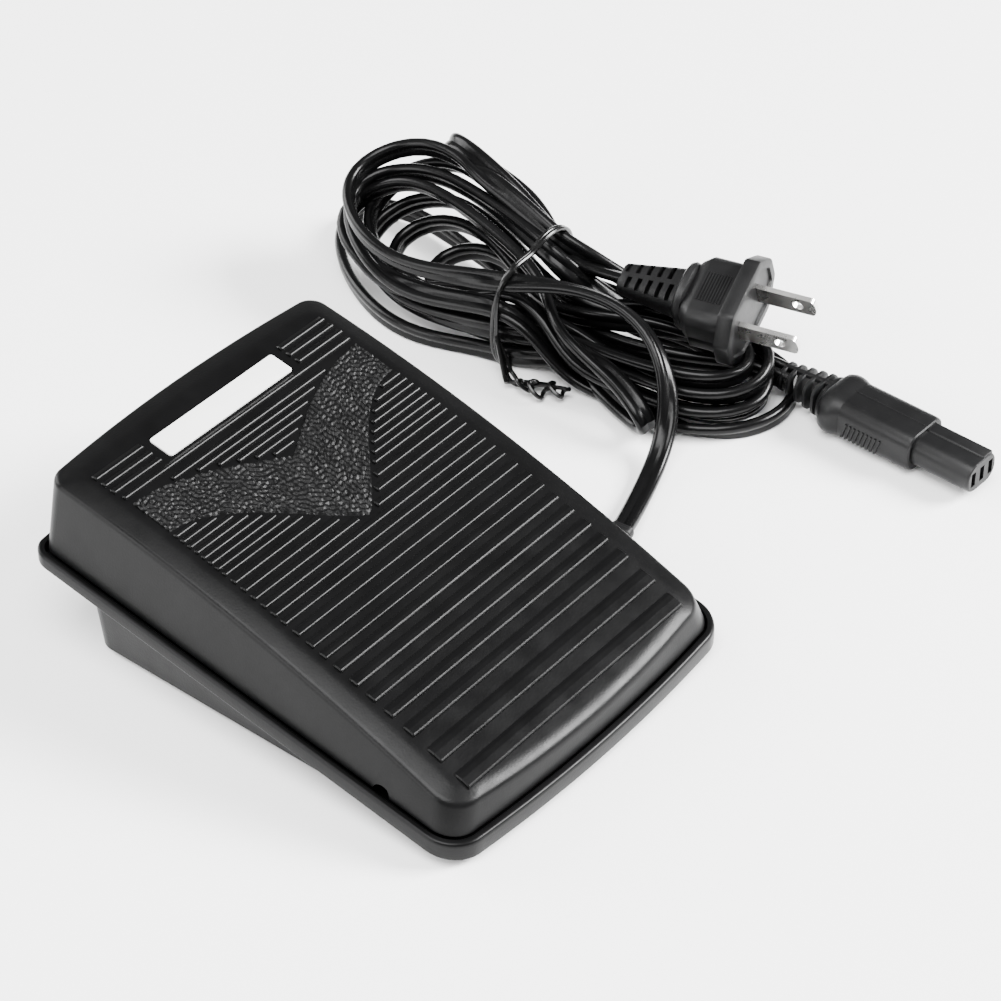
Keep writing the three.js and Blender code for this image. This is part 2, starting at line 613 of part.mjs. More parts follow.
add('cord_clamp', cordClamp(), { color: 0xd8d4c6, roughness: 0.6, metalness: 0 });
add('clamp_screw_low', screw(37, EXIT.y - 7.5, CLAMP.z + CLAMP.t + 2 * TOUCH, 2.6, 1.05, 5), STEEL);
add('clamp_screw_high', screw(37, EXIT.y + 7.5, CLAMP.z + CLAMP.t + 2 * TOUCH, 2.6, 1.05, 5), STEEL);
add('cord_tail', cordTail(), CORD_BLACK);
add('lead_brown', lead(LEADS.brown), { color: 0x5b3a22, roughness: 0.5, metalness: 0 });
add('lead_white', lead(LEADS.white), { color: 0xe4e2dc, roughness: 0.5, metalness: 0 });
add('pedal_lead', flatCord(PEDAL_LEAD, 12), CORD_BLACK);
add('mains_lead', flatCord(MAINS_LEAD, 4), CORD_BLACK);
add('pedal_cord_bundle', pedalBundle(), CORD_BLACK);
add('mains_cord_bundle', mainsBundle(), CORD_BLACK);
add('twist_tie', twistTie(), CORD_BLACK);
add('plug_body', plugBody(), BLACK, plugPlace);
add('plug_blade_a', plugBlade(-1), NICKEL, plugPlace);
add('plug_blade_b', plugBlade(1), NICKEL, plugPlace);
const plugTail = plugPlace.clone().multiply(at(PLUG_BACK - 3.3, 0, 0));
add('plug_strain_relief', strainRelief(18, 13.5, 10, 6), BLACK, plugTail);
add('connector_body', connectorBody(), BLACK, connectorPlace);
SOCKETS.forEach((y, i) => add(`connector_contact_${i + 1}`, contact(y), NICKEL, connectorPlace));
const connectorTail = connectorPlace.clone().multiply(at(-5.8, 0, 0));
add('connector_strain_relief', strainRelief(15, 11.4, 9.4, 5), BLACK, connectorTail);

export default group;
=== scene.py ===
# Sewing machine foot pedal with its tied flat cords, mains plug and machine connector.
# Working unit in the shape code is the millimetre; meshes are stored in metres.
import json
import math

import bmesh
import bpy
import numpy as np
from mathutils import Matrix, Vector

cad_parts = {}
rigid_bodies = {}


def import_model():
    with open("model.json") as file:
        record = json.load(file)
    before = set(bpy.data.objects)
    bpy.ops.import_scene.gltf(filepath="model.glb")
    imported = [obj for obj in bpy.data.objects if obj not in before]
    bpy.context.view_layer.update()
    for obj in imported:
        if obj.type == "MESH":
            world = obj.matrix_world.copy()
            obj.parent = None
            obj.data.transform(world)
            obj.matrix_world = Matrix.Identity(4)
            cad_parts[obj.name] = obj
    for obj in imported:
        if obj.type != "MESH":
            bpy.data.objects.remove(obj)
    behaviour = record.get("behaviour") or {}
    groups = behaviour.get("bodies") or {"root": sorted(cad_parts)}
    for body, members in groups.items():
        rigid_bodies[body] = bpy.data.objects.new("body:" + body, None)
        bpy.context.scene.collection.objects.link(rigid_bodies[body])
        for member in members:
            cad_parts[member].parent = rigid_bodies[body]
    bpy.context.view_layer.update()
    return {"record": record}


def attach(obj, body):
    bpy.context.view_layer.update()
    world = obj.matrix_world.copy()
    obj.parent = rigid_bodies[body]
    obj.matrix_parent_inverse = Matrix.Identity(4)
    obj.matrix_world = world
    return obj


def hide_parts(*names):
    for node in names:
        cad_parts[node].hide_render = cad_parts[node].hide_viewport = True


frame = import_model()
MM = 0.001

# ---- camera -------------------------------------------------------------------------
AZIMUTH, ELEVATION, DISTANCE = math.radians(-50.954), math.radians(39.765), 0.87476
TARGET = Vector((0.04431, -0.0016, 0.01627))
back = Vector((
    math.sin(AZIMUTH) * math.cos(ELEVATION),
    -math.cos(AZIMUTH) * math.cos(ELEVATION),
    math.sin(ELEVATION),
))
camera = bpy.data.objects.new("camera", bpy.data.cameras.new("camera"))
bpy.context.collection.objects.link(camera)
camera.data.lens, camera.data.sensor_width = 124.23, 36
camera.data.clip_start, camera.data.clip_end = 0.01, 50
camera.location = TARGET + back * DISTANCE
camera.rotation_mode = "QUATERNION"
camera.rotation_quaternion = (-back).to_track_quat("-Z", "Y")
bpy.context.scene.camera = camera


# ---- materials ----------------------------------------------------------------------
COLOUR_SCALE, ROUGH_SCALE = 60, 140   # how fine the colour and the roughness vary


def material(name, colour, roughness, metallic=0.0, **extra):
    """A material with slight variation; extra: spec, vary, bump, bump_depth, bump_scale, stretch."""
    mat = bpy.data.materials.new(name)
    mat.use_nodes = True
    nodes, links = mat.node_tree.nodes, mat.node_tree.links
    shader = nodes["Principled BSDF"]
    shader.inputs["Metallic"].default_value = metallic
    shader.inputs["Base Color"].default_value = (*colour, 1)
    shader.inputs["Roughness"].default_value = roughness
    shader.inputs["IOR"].default_value = 1.5
    shader.inputs["Specular IOR Level"].default_value = extra.get("spec", 0.5)
    where = nodes.new("ShaderNodeTexCoord")

    def noise(scale, detail=3.0, stretch=None):
        tex = nodes.new("ShaderNodeTexNoise")
        tex.inputs["Scale"].default_value = scale
        tex.inputs["Detail"].default_value = detail
        source = where.outputs["Object"]
        if stretch:
            mapping = nodes.new("ShaderNodeMapping")
            mapping.inputs["Scale"].default_value = stretch
            links.new(source, mapping.inputs["Vector"])
            source = mapping.outputs["Vector"]
        links.new(source, tex.inputs["Vector"])
        return tex.outputs["Fac"]

    def ramp(value, low, high, a, b):
        node = nodes.new("ShaderNodeMapRange")
        node.inputs["From Min"].default_value = low
        node.inputs["From Max"].default_value = high
        node.inputs["To Min"].default_value = a
        node.inputs["To Max"].default_value = b
        links.new(value, node.inputs["Value"])
        return node.outputs["Result"]

    vary = extra.get("vary", 0.25)
    mix = nodes.new("ShaderNodeMix")
    mix.data_type = "RGBA"
    mix.inputs["A"].default_value = (*[c * (1 - vary) for c in colour], 1)
    mix.inputs["B"].default_value = (*[min(1, c * (1 + vary)) for c in colour], 1)
    links.new(ramp(noise(COLOUR_SCALE), 0.3, 0.7, 0, 1), mix.inputs["Factor"])
    links.new(mix.outputs["Result"], shader.inputs["Base Color"])
    rough = ramp(noise(ROUGH_SCALE), 0.3, 0.7, roughness * 0.88, min(1, roughness * 1.14))
    links.new(rough, shader.inputs["Roughness"])
    if extra.get("bump"):
        bump = nodes.new("ShaderNodeBump")
        bump.inputs["Strength"].default_value = extra["bump"]
        bump.inputs["Distance"].default_value = extra.get("bump_depth", 0.0001)
        links.new(noise(extra.get("bump_scale", 1500), 2.0, extra.get("stretch")), bump.inputs["Height"])
        links.new(bump.outputs["Normal"], shader.inputs["Normal"])
    return mat


M = {
    "shell": material("shell_black", (0.0016, 0.0016, 0.0017), 0.33, spec=0.13, bump=0.25, bump_scale=1800),
    "grain": material("grain_black", (0.0016, 0.0016, 0.0017), 0.42, spec=0.13, bump=0.3, bump_scale=2600),
    "label": material("label_white", (0.86, 0.86, 0.85), 0.42, vary=0.02, bump=0.06, bump_scale=900),
    "steel": material("steel", (0.42, 0.42, 0.43), 0.3, 1.0, bump=0.2, bump_scale=900, stretch=(1, 1, 9)),
    "rubber": material("rubber_black", (0.006, 0.006, 0.006), 0.75, spec=0.2, bump=0.5, bump_scale=1600),
    "soft_black": material("soft_black", (0.004, 0.004, 0.0042), 0.5, spec=0.2, bump=0.3, bump_scale=1400),
    "cord_black": material("cord_vinyl", (0.0018, 0.0018, 0.0019), 0.24, spec=0.15, bump=0.2, bump_scale=900,
                           bump_depth=0.00015),
    "tie_black": material("tie_black", (0.0015, 0.0015, 0.0015), 0.22, spec=0.3, bump=0.2, bump_scale=1800),
    "moulded_black": material("moulded_black", (0.003, 0.003, 0.0032), 0.42, spec=0.2, bump=0.35,
                              bump_scale=1700),
    "nickel": material("nickel", (0.8, 0.79, 0.77), 0.28, 1.0, vary=0.08, bump=0.15, bump_scale=1200,
                       stretch=(1, 8, 1)),
    "board": material("board_brown", (0.22, 0.13, 0.045), 0.55, bump=0.3, bump_scale=900),
    "blue_plastic": material("blue_plastic", (0.03, 0.09, 0.3), 0.45, bump=0.2),
    "ivory_plastic": material("ivory_nylon", (0.62, 0.58, 0.48), 0.5, vary=0.06, bump=0.25),
    "component_black": material("component_black", (0.02, 0.02, 0.02), 0.5, bump=0.4),
    "aluminium": material("aluminium", (0.62, 0.63, 0.64), 0.35, 1.0, vary=0.08, bump=0.3,
                          stretch=(8, 1, 1)),
    "red_plastic": material("red_resin", (0.4, 0.06, 0.03), 0.3, bump=0.15, bump_scale=500),
    "copper_wire": material("copper_winding", (0.45, 0.15, 0.05), 0.35, 0.7, bump=0.5, bump_scale=700),
    "ceramic": material("resistor_tan", (0.52, 0.4, 0.24), 0.5, bump=0.2),
    "green_plastic": material("green_plastic", (0.05, 0.22, 0.08), 0.45, bump=0.2),
    "brown_insulation": material("brown_insulation", (0.13, 0.055, 0.03), 0.42, bump=0.2),
}
M["spring_steel"] = M["steel"]
for part in frame["record"]["subparts"]:
    node = bpy.data.objects[part["node"]]
    node.data.materials.clear()
    node.data.materials.append(M[part["material_slot"]])


# ---- mesh helpers -------------------------------------------------------------------
def piece(name, verts, faces, slot, body, stands_for, look=None, smooth=True, matrix=None):
    """Adds a closed mesh, given in millimetres, as a piece that rides on a body."""
    mesh = bpy.data.meshes.new(name)
    if matrix is not None:
        verts = [matrix @ Vector(v) for v in verts]
    mesh.from_pydata([tuple(c * MM for c in v) for v in verts], [], faces)
    obj = bpy.data.objects.new(name, mesh)
    bpy.context.collection.objects.link(obj)
    return finish_piece(obj, slot, body, stands_for, look, smooth)


def finish_piece(obj, slot, body, stands_for, look=None, smooth=True):
    """Welds and shades a mesh, gives it its material, hangs it on its body and hides the parts it stands
    for.
    """
    bm = bmesh.new()
    bm.from_mesh(obj.data)
    bmesh.ops.remove_doubles(bm, verts=bm.verts, dist=1e-7)
    bmesh.ops.recalc_face_normals(bm, faces=bm.faces)
    for edge in bm.edges:
        if len(edge.link_faces) == 2:
            edge.smooth = edge.calc_face_angle(0) < math.radians(32)
    for face in bm.faces:
        face.smooth = smooth
    bm.to_mesh(obj.data)
    bm.free()
    obj.data.materials.clear()
    obj.data.materials.append(M[look or slot])
    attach(obj, body)
    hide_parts(*stands_for)
    return obj


def loft(rings, caps=True):
    """Quads between rings of equal count; caps are ladders between mirrored points."""
    n = len(rings[0])
    verts = [p for ring in rings for p in ring]
    faces = []
    for k in range(len(rings) - 1):
        for i in range(n):
            a, b = k * n + i, k * n + (i + 1) % n
            faces.append((a, b, b + n, a + n))
    last = (len(rings) - 1) * n
    for i in range(n // 2 - 1 if caps else 0):
        faces.append((i, n - 1 - i, n - 2 - i, i + 1))
        faces.append((last + i, last + i + 1, last + n - 2 - i, last + n - 1 - i))
    return verts, faces


def modify(obj, kind, **settings):
    """Adds a modifier and applies it."""
    mod = obj.modifiers.new(kind, kind)
    for key, value in settings.items():
        setattr(mod, key, value)
    deps = bpy.context.evaluated_depsgraph_get()
    mesh = bpy.data.meshes.new_from_object(obj.evaluated_get(deps))
    obj.modifiers.clear()
    old = obj.data
    obj.data = mesh
    bpy.data.meshes.remove(old)
    return obj


def raw(name, verts, faces):
    """A closed mesh, given in millimetres, that is still to be cut, joined or finished."""
    mesh = bpy.data.meshes.new(name)
    mesh.from_pydata([tuple(c * MM for c in v) for v in verts], [], faces)
    obj = bpy.data.objects.new(name, mesh)
    bpy.context.collection.objects.link(obj)
    bm = bmesh.new()
    bm.from_mesh(mesh)
    bmesh.ops.remove_doubles(bm, verts=bm.verts, dist=1e-7)
    bmesh.ops.recalc_face_normals(bm, faces=bm.faces)
    bm.to_mesh(mesh)
    bm.free()
    return obj


def cut(obj, *tools):
    """Takes each tool away from the object and removes the tool."""
    for tool in tools:
        modify(obj, "BOOLEAN", object=tool, operation="DIFFERENCE", solver="EXACT")
        bpy.data.objects.remove(tool)
    return obj


def merged(name, main, *others):
    """Joins other objects into the main one."""
    bpy.ops.object.select_all(action="DESELECT")
    for obj in (main, *others):
        obj.select_set(True)
    bpy.context.view_layer.objects.active = main
    bpy.ops.object.join()
    main.name = name
    return main


def box_data(x0, x1, y0, y1, z0, z1):
    verts = [(x, y, z) for z in (z0, z1) for y in (y0, y1) for x in (x0, x1)]
    faces = [(0, 2, 3, 1), (4, 5, 7, 6), (0, 1, 5, 4), (2, 6, 7, 3), (0, 4, 6, 2), (1, 3, 7, 5)]
    return verts, faces


def cylinder_data(radius, z0, z1, matrix, sides=32):
    """A plain cylinder about Z, moved by the matrix, used as a cutting tool."""
    ring = [(math.cos(2 * math.pi * i / sides), math.sin(2 * math.pi * i / sides)) for i in range(sides)]
    verts = [(radius * x, radius * y, z) for z in (z0, z1) for x, y in ring]
    verts = [tuple(matrix @ Vector(v)) for v in verts]
    faces = [(i, (i + 1) % sides, sides + (i + 1) % sides, sides + i) for i in range(sides)]
    faces += [tuple(range(sides - 1, -1, -1)), tuple(range(sides, 2 * sides))]
    return verts, faces


# ---- cord routes ---------------------------------------------------------------------
CORD_WIDE, CORD_THICK = 5.9, 3.0
TIE = (118.5, 43.0, 14.6)             # middle of the bundle where the tie holds it
TIE_HALF = (16.5, 13.8)
CLEAR = 4.7                           # strands settle about this far apart, centre to centre


def resample(line, step):
    """The same line with its points an even step apart."""
    run = np.concatenate([[0], np.cumsum(np.linalg.norm(np.diff(line, axis=0), axis=1))])
    at = np.linspace(0, run[-1], max(2, int(round(run[-1] / step)) + 1))
    return np.stack([np.interp(at, run, line[:, k]) for k in range(3)], axis=1)


def spline(points, step):
    """Centripetal curve through the points, resampled at an even step."""
    p = np.array(points, float)
    p = np.vstack([2 * p[0] - p[1], p, 2 * p[-1] - p[-2]])
    made = []
    for a, b, c, d in zip(p, p[1:], p[2:], p[3:]):
        t1 = math.sqrt(max(np.linalg.norm(b - a), 1e-6))
        t2 = t1 + math.sqrt(max(np.linalg.norm(c - b), 1e-6))
        t3 = t2 + math.sqrt(max(np.linalg.norm(d - c), 1e-6))
        for k in range(12):
            t = t1 + (t2 - t1) * k / 12
            ab = a * (t1 - t) / t1 + b * t / t1
            bc = b * (t2 - t) / (t2 - t1) + c * (t - t1) / (t2 - t1)
            cd = c * (t3 - t) / (t3 - t2) + d * (t - t2) / (t3 - t2)
            abc = ab * (t2 - t) / t2 + bc * t / t2
            bcd = bc * (t3 - t) / (t3 - t1) + cd * (t - t1) / (t3 - t1)
            made.append(abc * (t2 - t) / (t2 - t1) + bcd * (t - t1) / (t2 - t1))
    made.append(p[-2])
    return resample(np.array(made), step)


# Loops of the bundle past the tie: nearest x, farthest x, y of the tip, heights on the near
# side, at the tip and on the far side, then where the two strands cross the tie (x, z).
HIGH = {
    "p1": (98.5, 135, 111, 23, 30, 37, (108, 27), (128, 27)),
    "p2": (99.5, 131, 110.5, 14.5, 23, 30.5, (106, 20), (124, 27.5)),
    "p3": (101, 125, 112, 12, 20, 30, (113, 22), (119, 22)),
    "p4": (108, 132, 86, 4, 7, 12, (110, 6.5), (124, 7)),
    "m3": (101, 134, 105, 8, 14, 22, (105, 12), (125, 13)),
    "m4": (105, 137, 108, 10, 19, 32, (111, 15), (126, 19)),
    "m5": (106, 131, 98, 6, 11, 18, (112, 10), (119, 11)),
}
LOW = {
    "p12": (110, 151, -27.5, 2.2, 2.2, 3, (113, 2), (130, 26)),
    "p23": (111.5, 147, -24, 6.5, 6.5, 8, (106, 8.5), (129, 10)),
    "m12": (113, 145, -22, 10, 10, 11, (111, 4.5), (129, 12)),
    "m23": (114, 141, -18, 13, 13, 13, (111, 11), (124, 16)),
    "m34": (119, 140, -15, 5.5, 5.5, 8, (113, 15), (121, 18)),
    "m45": (116, 146, -21, 2.2, 2.2, 3, (117, 4), (126, 7)),
}
# One loop stands on edge past the tie, and one droops over the near side of the bundle.
ON_EDGE = [
    (131.5, 54, 29), (133.6, 70, 34), (135.6, 86, 37.2), (138.8, 94.8, 36.9), (142.6, 98, 32.4),
    (146.2, 95.5, 27), (148.5, 86, 23.8), (147.5, 72, 21.5), (141, 57, 19),
]
DROOP = [
    (105.5, 30, 18), (106.2, 19.4, 16.6), (106, 11, 14.8), (104, 3, 12.6), (101.4, -3.6, 10.6),
    (100.2, -7.8, 7.2), (102.4, -7, 3.2), (106, -1, 2.2), (109, 7, 2.1), (111, 16, 2.1), (112.5, 29, 3.4),
]
# From the pedal's strain relief over the floor, up the bundle's near side and into the tie.
PEDAL_LEAD = [
    (63.5, -24.8, 4.6), (67, -23.9, 4.2), (70.5, -22.4, 3.1), (74.5, -20.6, 2.2), (80.6, -18.4, 1.8),
    (86.2, -16.5, 1.8), (92.3, -14.2, 1.9), (98.1, -12.3, 2.8), (102.1, -10.9, 5.2), (105.3, -9.7, 9),
    (107.2, -8.6, 13), (108.6, -6.8, 16.8), (110.5, -3.4, 22), (114, 3.3, 26), (115.5, 10.4, 28.3),
    (115, 17.4, 29.6), (113.5, 26, 30), (111, 35, 29.5),
]
# The lowest loop of the mains cord lies on the floor and slants away from the pedal.
FLOOR_LOOP = [
    (105.5, 54.5, 2.2), (101, 62.5, 2.2), (97.7, 71, 2.2), (97.2, 79.5, 2.2), (99, 87.2, 2.2),
    (102.5, 96, 2.2), (107.2, 105, 2.2), (112, 111.4, 2.2), (117.4, 117.3, 2.4), (124, 122.4, 2.8),
    (131.5, 124, 3.2), (138, 120, 3.6), (140.5, 111, 4), (139, 96, 4), (135, 77, 4), (130, 58, 4),
    (126, 43, 4),
]
PLUG_END = [(131, 23.8, 24.3), (130.2, 27.5, 24.3), (129.5, 34, 24.5)]
CONNECTOR_END_PEDAL = [(122, 30, 8), (125, 16, 8), (131, 0, 7.8), (139, -12, 7), (141.2, -25, 6.6)]
CONNECTOR_END_MAINS = [(122, 30, 14), (131, 14, 13.5), (140, -2, 10), (143.9, -12, 7.4), (144.3, -25, 6.6)]


def along(tip, share):
    """The y that lies this share of the way from the tie to a loop's tip."""
    return TIE[1] + share * (tip - TIE[1])


def high_loop(near, far, tip, z_near, z_tip, z_far, a, b):
    """From the near side of the tie round the high end and back to its far side."""
    w = far - near
    return [
        (a[0], TIE[1], a[1]),
        ((a[0] + near) / 2, along(tip, 0.24), (a[1] + z_near) / 2),
        (near, along(tip, 0.56), z_near),
        (near + 0.11 * w, along(tip, 0.8), z_near * 0.7 + z_tip * 0.3),
        (near + 0.33 * w, along(tip, 0.965), z_near * 0.3 + z_tip * 0.7),
        (near + 0.6 * w, tip, z_tip),
        (near + 0.9 * w, along(tip, 0.9), z_tip * 0.4 + z_far * 0.6),
        (far, along(tip, 0.7), z_far),
        (near + 0.95 * w, along(tip, 0.45), z_far * 0.85 + b[1] * 0.15),
        (far * 0.4 + b[0] * 0.6, along(tip, 0.2), z_far * 0.4 + b[1] * 0.6),
        (b[0], TIE[1], b[1]),
    ]


def low_loop(near, far, tip, z_near, z_tip, z_far, a, b):
    """From the far side of the tie round the low end and back to its near side."""
    w = far - near
    return [
        (far * 0.45 + b[0] * 0.55, along(tip, 0.26), (z_far + b[1]) / 2),
        (near + 0.93 * w, along(tip, 0.52), z_far),
        (far, along(tip, 0.75), z_far),
        (near + 0.9 * w, along(tip, 0.93), (z_tip + z_far) / 2),
        (near + 0.6 * w, tip, z_tip),
        (near + 0.28 * w, along(tip, 0.955), z_near * 0.4 + z_tip * 0.6),
        (near + 0.06 * w, along(tip, 0.8), z_near * 0.8 + z_tip * 0.2),
        (near, along(tip, 0.55), z_near),
        ((a[0] + near) / 2, along(tip, 0.25), (a[1] + z_near) / 2),
    ]


pedal_route = (
    PEDAL_LEAD + high_loop(*HIGH["p1"]) + low_loop(*LOW["p12"]) + high_loop(*HIGH["p2"])
    + low_loop(*LOW["p23"]) + high_loop(*HIGH["p3"]) + DROOP + high_loop(*HIGH["p4"])
    + CONNECTOR_END_PEDAL
)
mains_route = (
    PLUG_END + [(131.5, 43, 22)] + ON_EDGE + [(130.5, 43, 14)] + low_loop(*LOW["m12"])
    + [(107, 43, 2.5)] + FLOOR_LOOP + low_loop(*LOW["m23"]) + high_loop(*HIGH["m3"])
    + low_loop(*LOW["m34"]) + high_loop(*HIGH["m4"]) + low_loop(*LOW["m45"])
    + high_loop(*HIGH["m5"]) + CONNECTOR_END_MAINS
)
# Where the plug lies on the bundle. The strands keep clear of its axis, and of the connector's,
# which runs along y.
PLUG_AT, PLUG_YAW, PLUG_PITCH, PLUG_ROLL = (138.7, -11.3, 25.6), -1.357, -0.037, 0.358
PLUG_BACK, PLUG_CLEAR, PLUG_END_Y = 21, 11.5, 16
CONNECTOR_AXIS, CONNECTOR_Y, CONNECTOR_CLEAR = (142.5, 0, 6.6), (-43, -21), 7.4
LEAD_END_X = 92                       # nearer the pedal than this, the lead lies as drawn
LOWEST = 1.75                         # height of a strand's middle when it lies on the floor


def settle(lines, rounds=240):
    """The strands push each other apart, lie on the floor and are drawn in by the tie."""
    p = np.vstack(lines)
    start, n = p.copy(), len(p)
    owner = np.concatenate([np.full(len(line), k) for k, line in enumerate(lines)])
    index = np.arange(n)
    a = index[:-1][owner[:-1] == owner[1:]]
    b = a + 1
    rest = np.linalg.norm(p[b] - p[a], axis=1)
    inner = np.zeros(n, bool)
    inner[1:-1] = (owner[:-2] == owner[1:-1]) & (owner[2:] == owner[1:-1])
    mid = index[inner]
    fixed = ~inner | (start[:, 0] < LEAD_END_X)
    for k in range(1, 4):
        fixed[len(lines[0]) - 1 - k] = fixed[n - 1 - k] = True
    free = np.ones(n, bool)
    free[len(lines[0]) - 9:len(lines[0])] = free[n - 9:] = False
    near_tie = np.exp(-((start[:, 1] - TIE[1]) / 9.0) ** 2)
    plug = np.array(PLUG_AT)
    nose = np.array([math.cos(PLUG_YAW), math.sin(PLUG_YAW), 0.0])
    for turn in range(rounds):
        if turn % 8 == 0:
            i, j = np.triu_indices(n, 5)
            close = ((p[i] - p[j]) ** 2).sum(1) < (CLEAR + 3) ** 2
            i, j = i[close], j[close]
        pull = 0.12 if turn < rounds * 0.6 else 0.06
        p += pull * (start - p) * (1 - 0.8 * near_tie)[:, None]
        p[mid] += 0.12 * (0.5 * (p[mid - 1] + p[mid + 1]) - p[mid])
        for _ in range(4):
            d = p[b] - p[a]
            length = np.linalg.norm(d, axis=1)
            shift = (0.25 * (length - rest) / length)[:, None] * d
            np.add.at(p, a, shift)
            np.add.at(p, b, -shift)
        d = p[i] - p[j]
        gap = np.linalg.norm(d, axis=1) + 1e-9
        hit = gap < CLEAR
        push = (0.44 * (CLEAR - gap[hit]) / gap[hit])[:, None] * d[hit]
        move, count = np.zeros_like(p), np.ones(n)
        np.add.at(move, i[hit], push)
        np.add.at(move, j[hit], -push)
        np.add.at(count, i[hit], 0.5)
        np.add.at(count, j[hit], 0.5)
        p += move * 1.5 / count[:, None]
        across = np.abs((p[:, 0] - TIE[0]) / TIE_HALF[0])
        upward = np.abs((p[:, 2] - TIE[2]) / TIE_HALF[1])
        ratio = (across ** 3 + upward ** 3) ** (1 / 3)
        out = (np.abs(p[:, 1] - TIE[1]) < 4.5) & (ratio > 1)
        scale = np.where(out, 0.5 + 0.5 / np.maximum(ratio, 1e-6), 1)
        p[:, 0] = TIE[0] + (p[:, 0] - TIE[0]) * scale
        p[:, 2] = TIE[2] + (p[:, 2] - TIE[2]) * scale
        reach = np.clip((p - plug) @ nose, -PLUG_BACK, 0)
        off = p - plug - reach[:, None] * nose
        far = np.linalg.norm(off, axis=1)
        under = (far < PLUG_CLEAR) & (p[:, 1] < PLUG_END_Y)
        p[under] += off[under] / far[under][:, None] * (PLUG_CLEAR - far[under])[:, None] * 0.5
        off = p - np.array(CONNECTOR_AXIS)
        off[:, 1] = p[:, 1] - np.clip(p[:, 1], *CONNECTOR_Y)
        far = np.linalg.norm(off, axis=1)
        near = (far < CONNECTOR_CLEAR) & free
        p[near] += off[near] / far[near][:, None] * (CONNECTOR_CLEAR - far[near])[:, None] * 0.5
        p[:, 2] = np.maximum(p[:, 2], LOWEST)
        p[fixed] = start[fixed]
    made, at = [], 0
    for line in lines:
        made.append(p[at:at + len(line)])
        at += len(line)
    return made


def flat_side(lines):
    """The way each strand's thin side faces: towards its nearest neighbour, and into bends."""
    p = np.vstack(lines)
    n = len(p)
    faces = []
    at = 0
    for line in lines:
        m = len(line)
        tangent = np.gradient(line, axis=0)
        tangent /= np.linalg.norm(tangent, axis=1)[:, None]
        bend = np.gradient(tangent, axis=0) / 4
        pref = np.zeros((m, 3, 3))
        for k in range(m):
            d = p - line[k]
            gap = np.linalg.norm(d, axis=1)
            keep = (gap < 7.5) & (np.abs(np.arange(n) - (at + k)) > 4)
            d = d[keep] - (d[keep] @ tangent[k])[:, None] * tangent[k]
            size = np.linalg.norm(d, axis=1) + 1e-6
            w = np.clip((7.5 - gap[keep]) / 3, 0, 1) ** 2 / size ** 2
            pref[k] = (d * w[:, None]).T @ d * 0.35
            pref[k] += np.outer(bend[k], bend[k]) * 700
            if line[k, 2] < 3:
                pref[k] += np.outer((0, 0, 1), (0, 0, 1)) * 0.25
        for _ in range(14):
            pref[1:-1] = 0.25 * pref[:-2] + 0.5 * pref[1:-1] + 0.25 * pref[2:]
        face = np.zeros((m, 3))
        value = np.array([0.0, 0.0, 1.0])
        for k in range(m):
            value = value - (value @ tangent[k]) * tangent[k]
            value /= np.linalg.norm(value)
            face[k] = value
        for _ in range(160):
            wish = np.einsum("kij,kj->ki", pref, face)
            ahead = np.vstack([face[1:], face[-1:]])
            behind = np.vstack([face[:1], face[:-1]])
            face = face * 0.4 + (ahead + behind) * 0.8 + wish * 0.8
            face -= (face * tangent).sum(1)[:, None] * tangent
            face /= np.linalg.norm(face, axis=1)[:, None]
        faces.append(face)
        at += m
    return faces


def twin_section():
    """The flat cord's outline: two round cores side by side with a shallow groove between."""
    r, gap = CORD_THICK / 2, CORD_WIDE / 2 - CORD_THICK / 2
    points = []
    for side in (1, -1):
        for k in range(9):
            a = math.radians(-112 + 28 * k)
            points.append((side * (gap + r * math.cos(a)), side * r * math.sin(a)))
        points.append((0, side * (r - 0.4)))
    return points


def cord_mesh(line, face):
    """The twin section swept along a strand, its thin side facing the given way."""
    fine = resample(line, 2.0)
    share = np.linspace(0, len(line) - 1, len(fine))
    out = np.stack([np.interp(share, np.arange(len(line)), face[:, k]) for k in range(3)], axis=1)
    tangent = np.gradient(fine, axis=0)
    tangent /= np.linalg.norm(tangent, axis=1)[:, None]
    out -= (out * tangent).sum(1)[:, None] * tangent
    out /= np.linalg.norm(out, axis=1)[:, None]
    wide = np.cross(tangent, out)
    section = twin_section()
    n = len(section)
    verts = []
    for c, w, t in zip(fine, wide, out):
        verts += [tuple(c + w * x + t * y) for x, y in section]
    faces = [
        (k * n + i, k * n + (i + 1) % n, (k + 1) * n + (i + 1) % n, (k + 1) * n + i)
        for k in range(len(fine) - 1) for i in range(n)
    ]
    faces += [tuple(range(n - 1, -1, -1)), tuple(range((len(fine) - 1) * n, len(fine) * n))]
    verts = [(x, y, max(z, 0.1)) for x, y, z in verts]
    return verts, faces, fine


def smooth_line(line, rounds=5):
    for _ in range(rounds):
        line[1:-1] = 0.25 * line[:-2] + 0.5 * line[1:-1] + 0.25 * line[2:]
    return line


routes = [smooth_line(line) for line in settle([spline(pedal_route, 4.0), spline(mains_route, 4.0)])]
sides = flat_side(routes)
routes[1], sides[1] = routes[1][::-1], sides[1][::-1]
pedal_verts, pedal_faces, pedal_line = cord_mesh(routes[0], sides[0])
mains_verts, mains_faces, mains_line = cord_mesh(routes[1], sides[1])

pedal_cord = piece("pedal_cord", pedal_verts, pedal_faces, "cord_black", "base",
                   ["pedal_lead", "pedal_cord_bundle"])
mains_cord = piece("mains_cord", mains_verts, mains_faces, "cord_black", "base",
                   ["mains_lead", "mains_cord_bundle"])


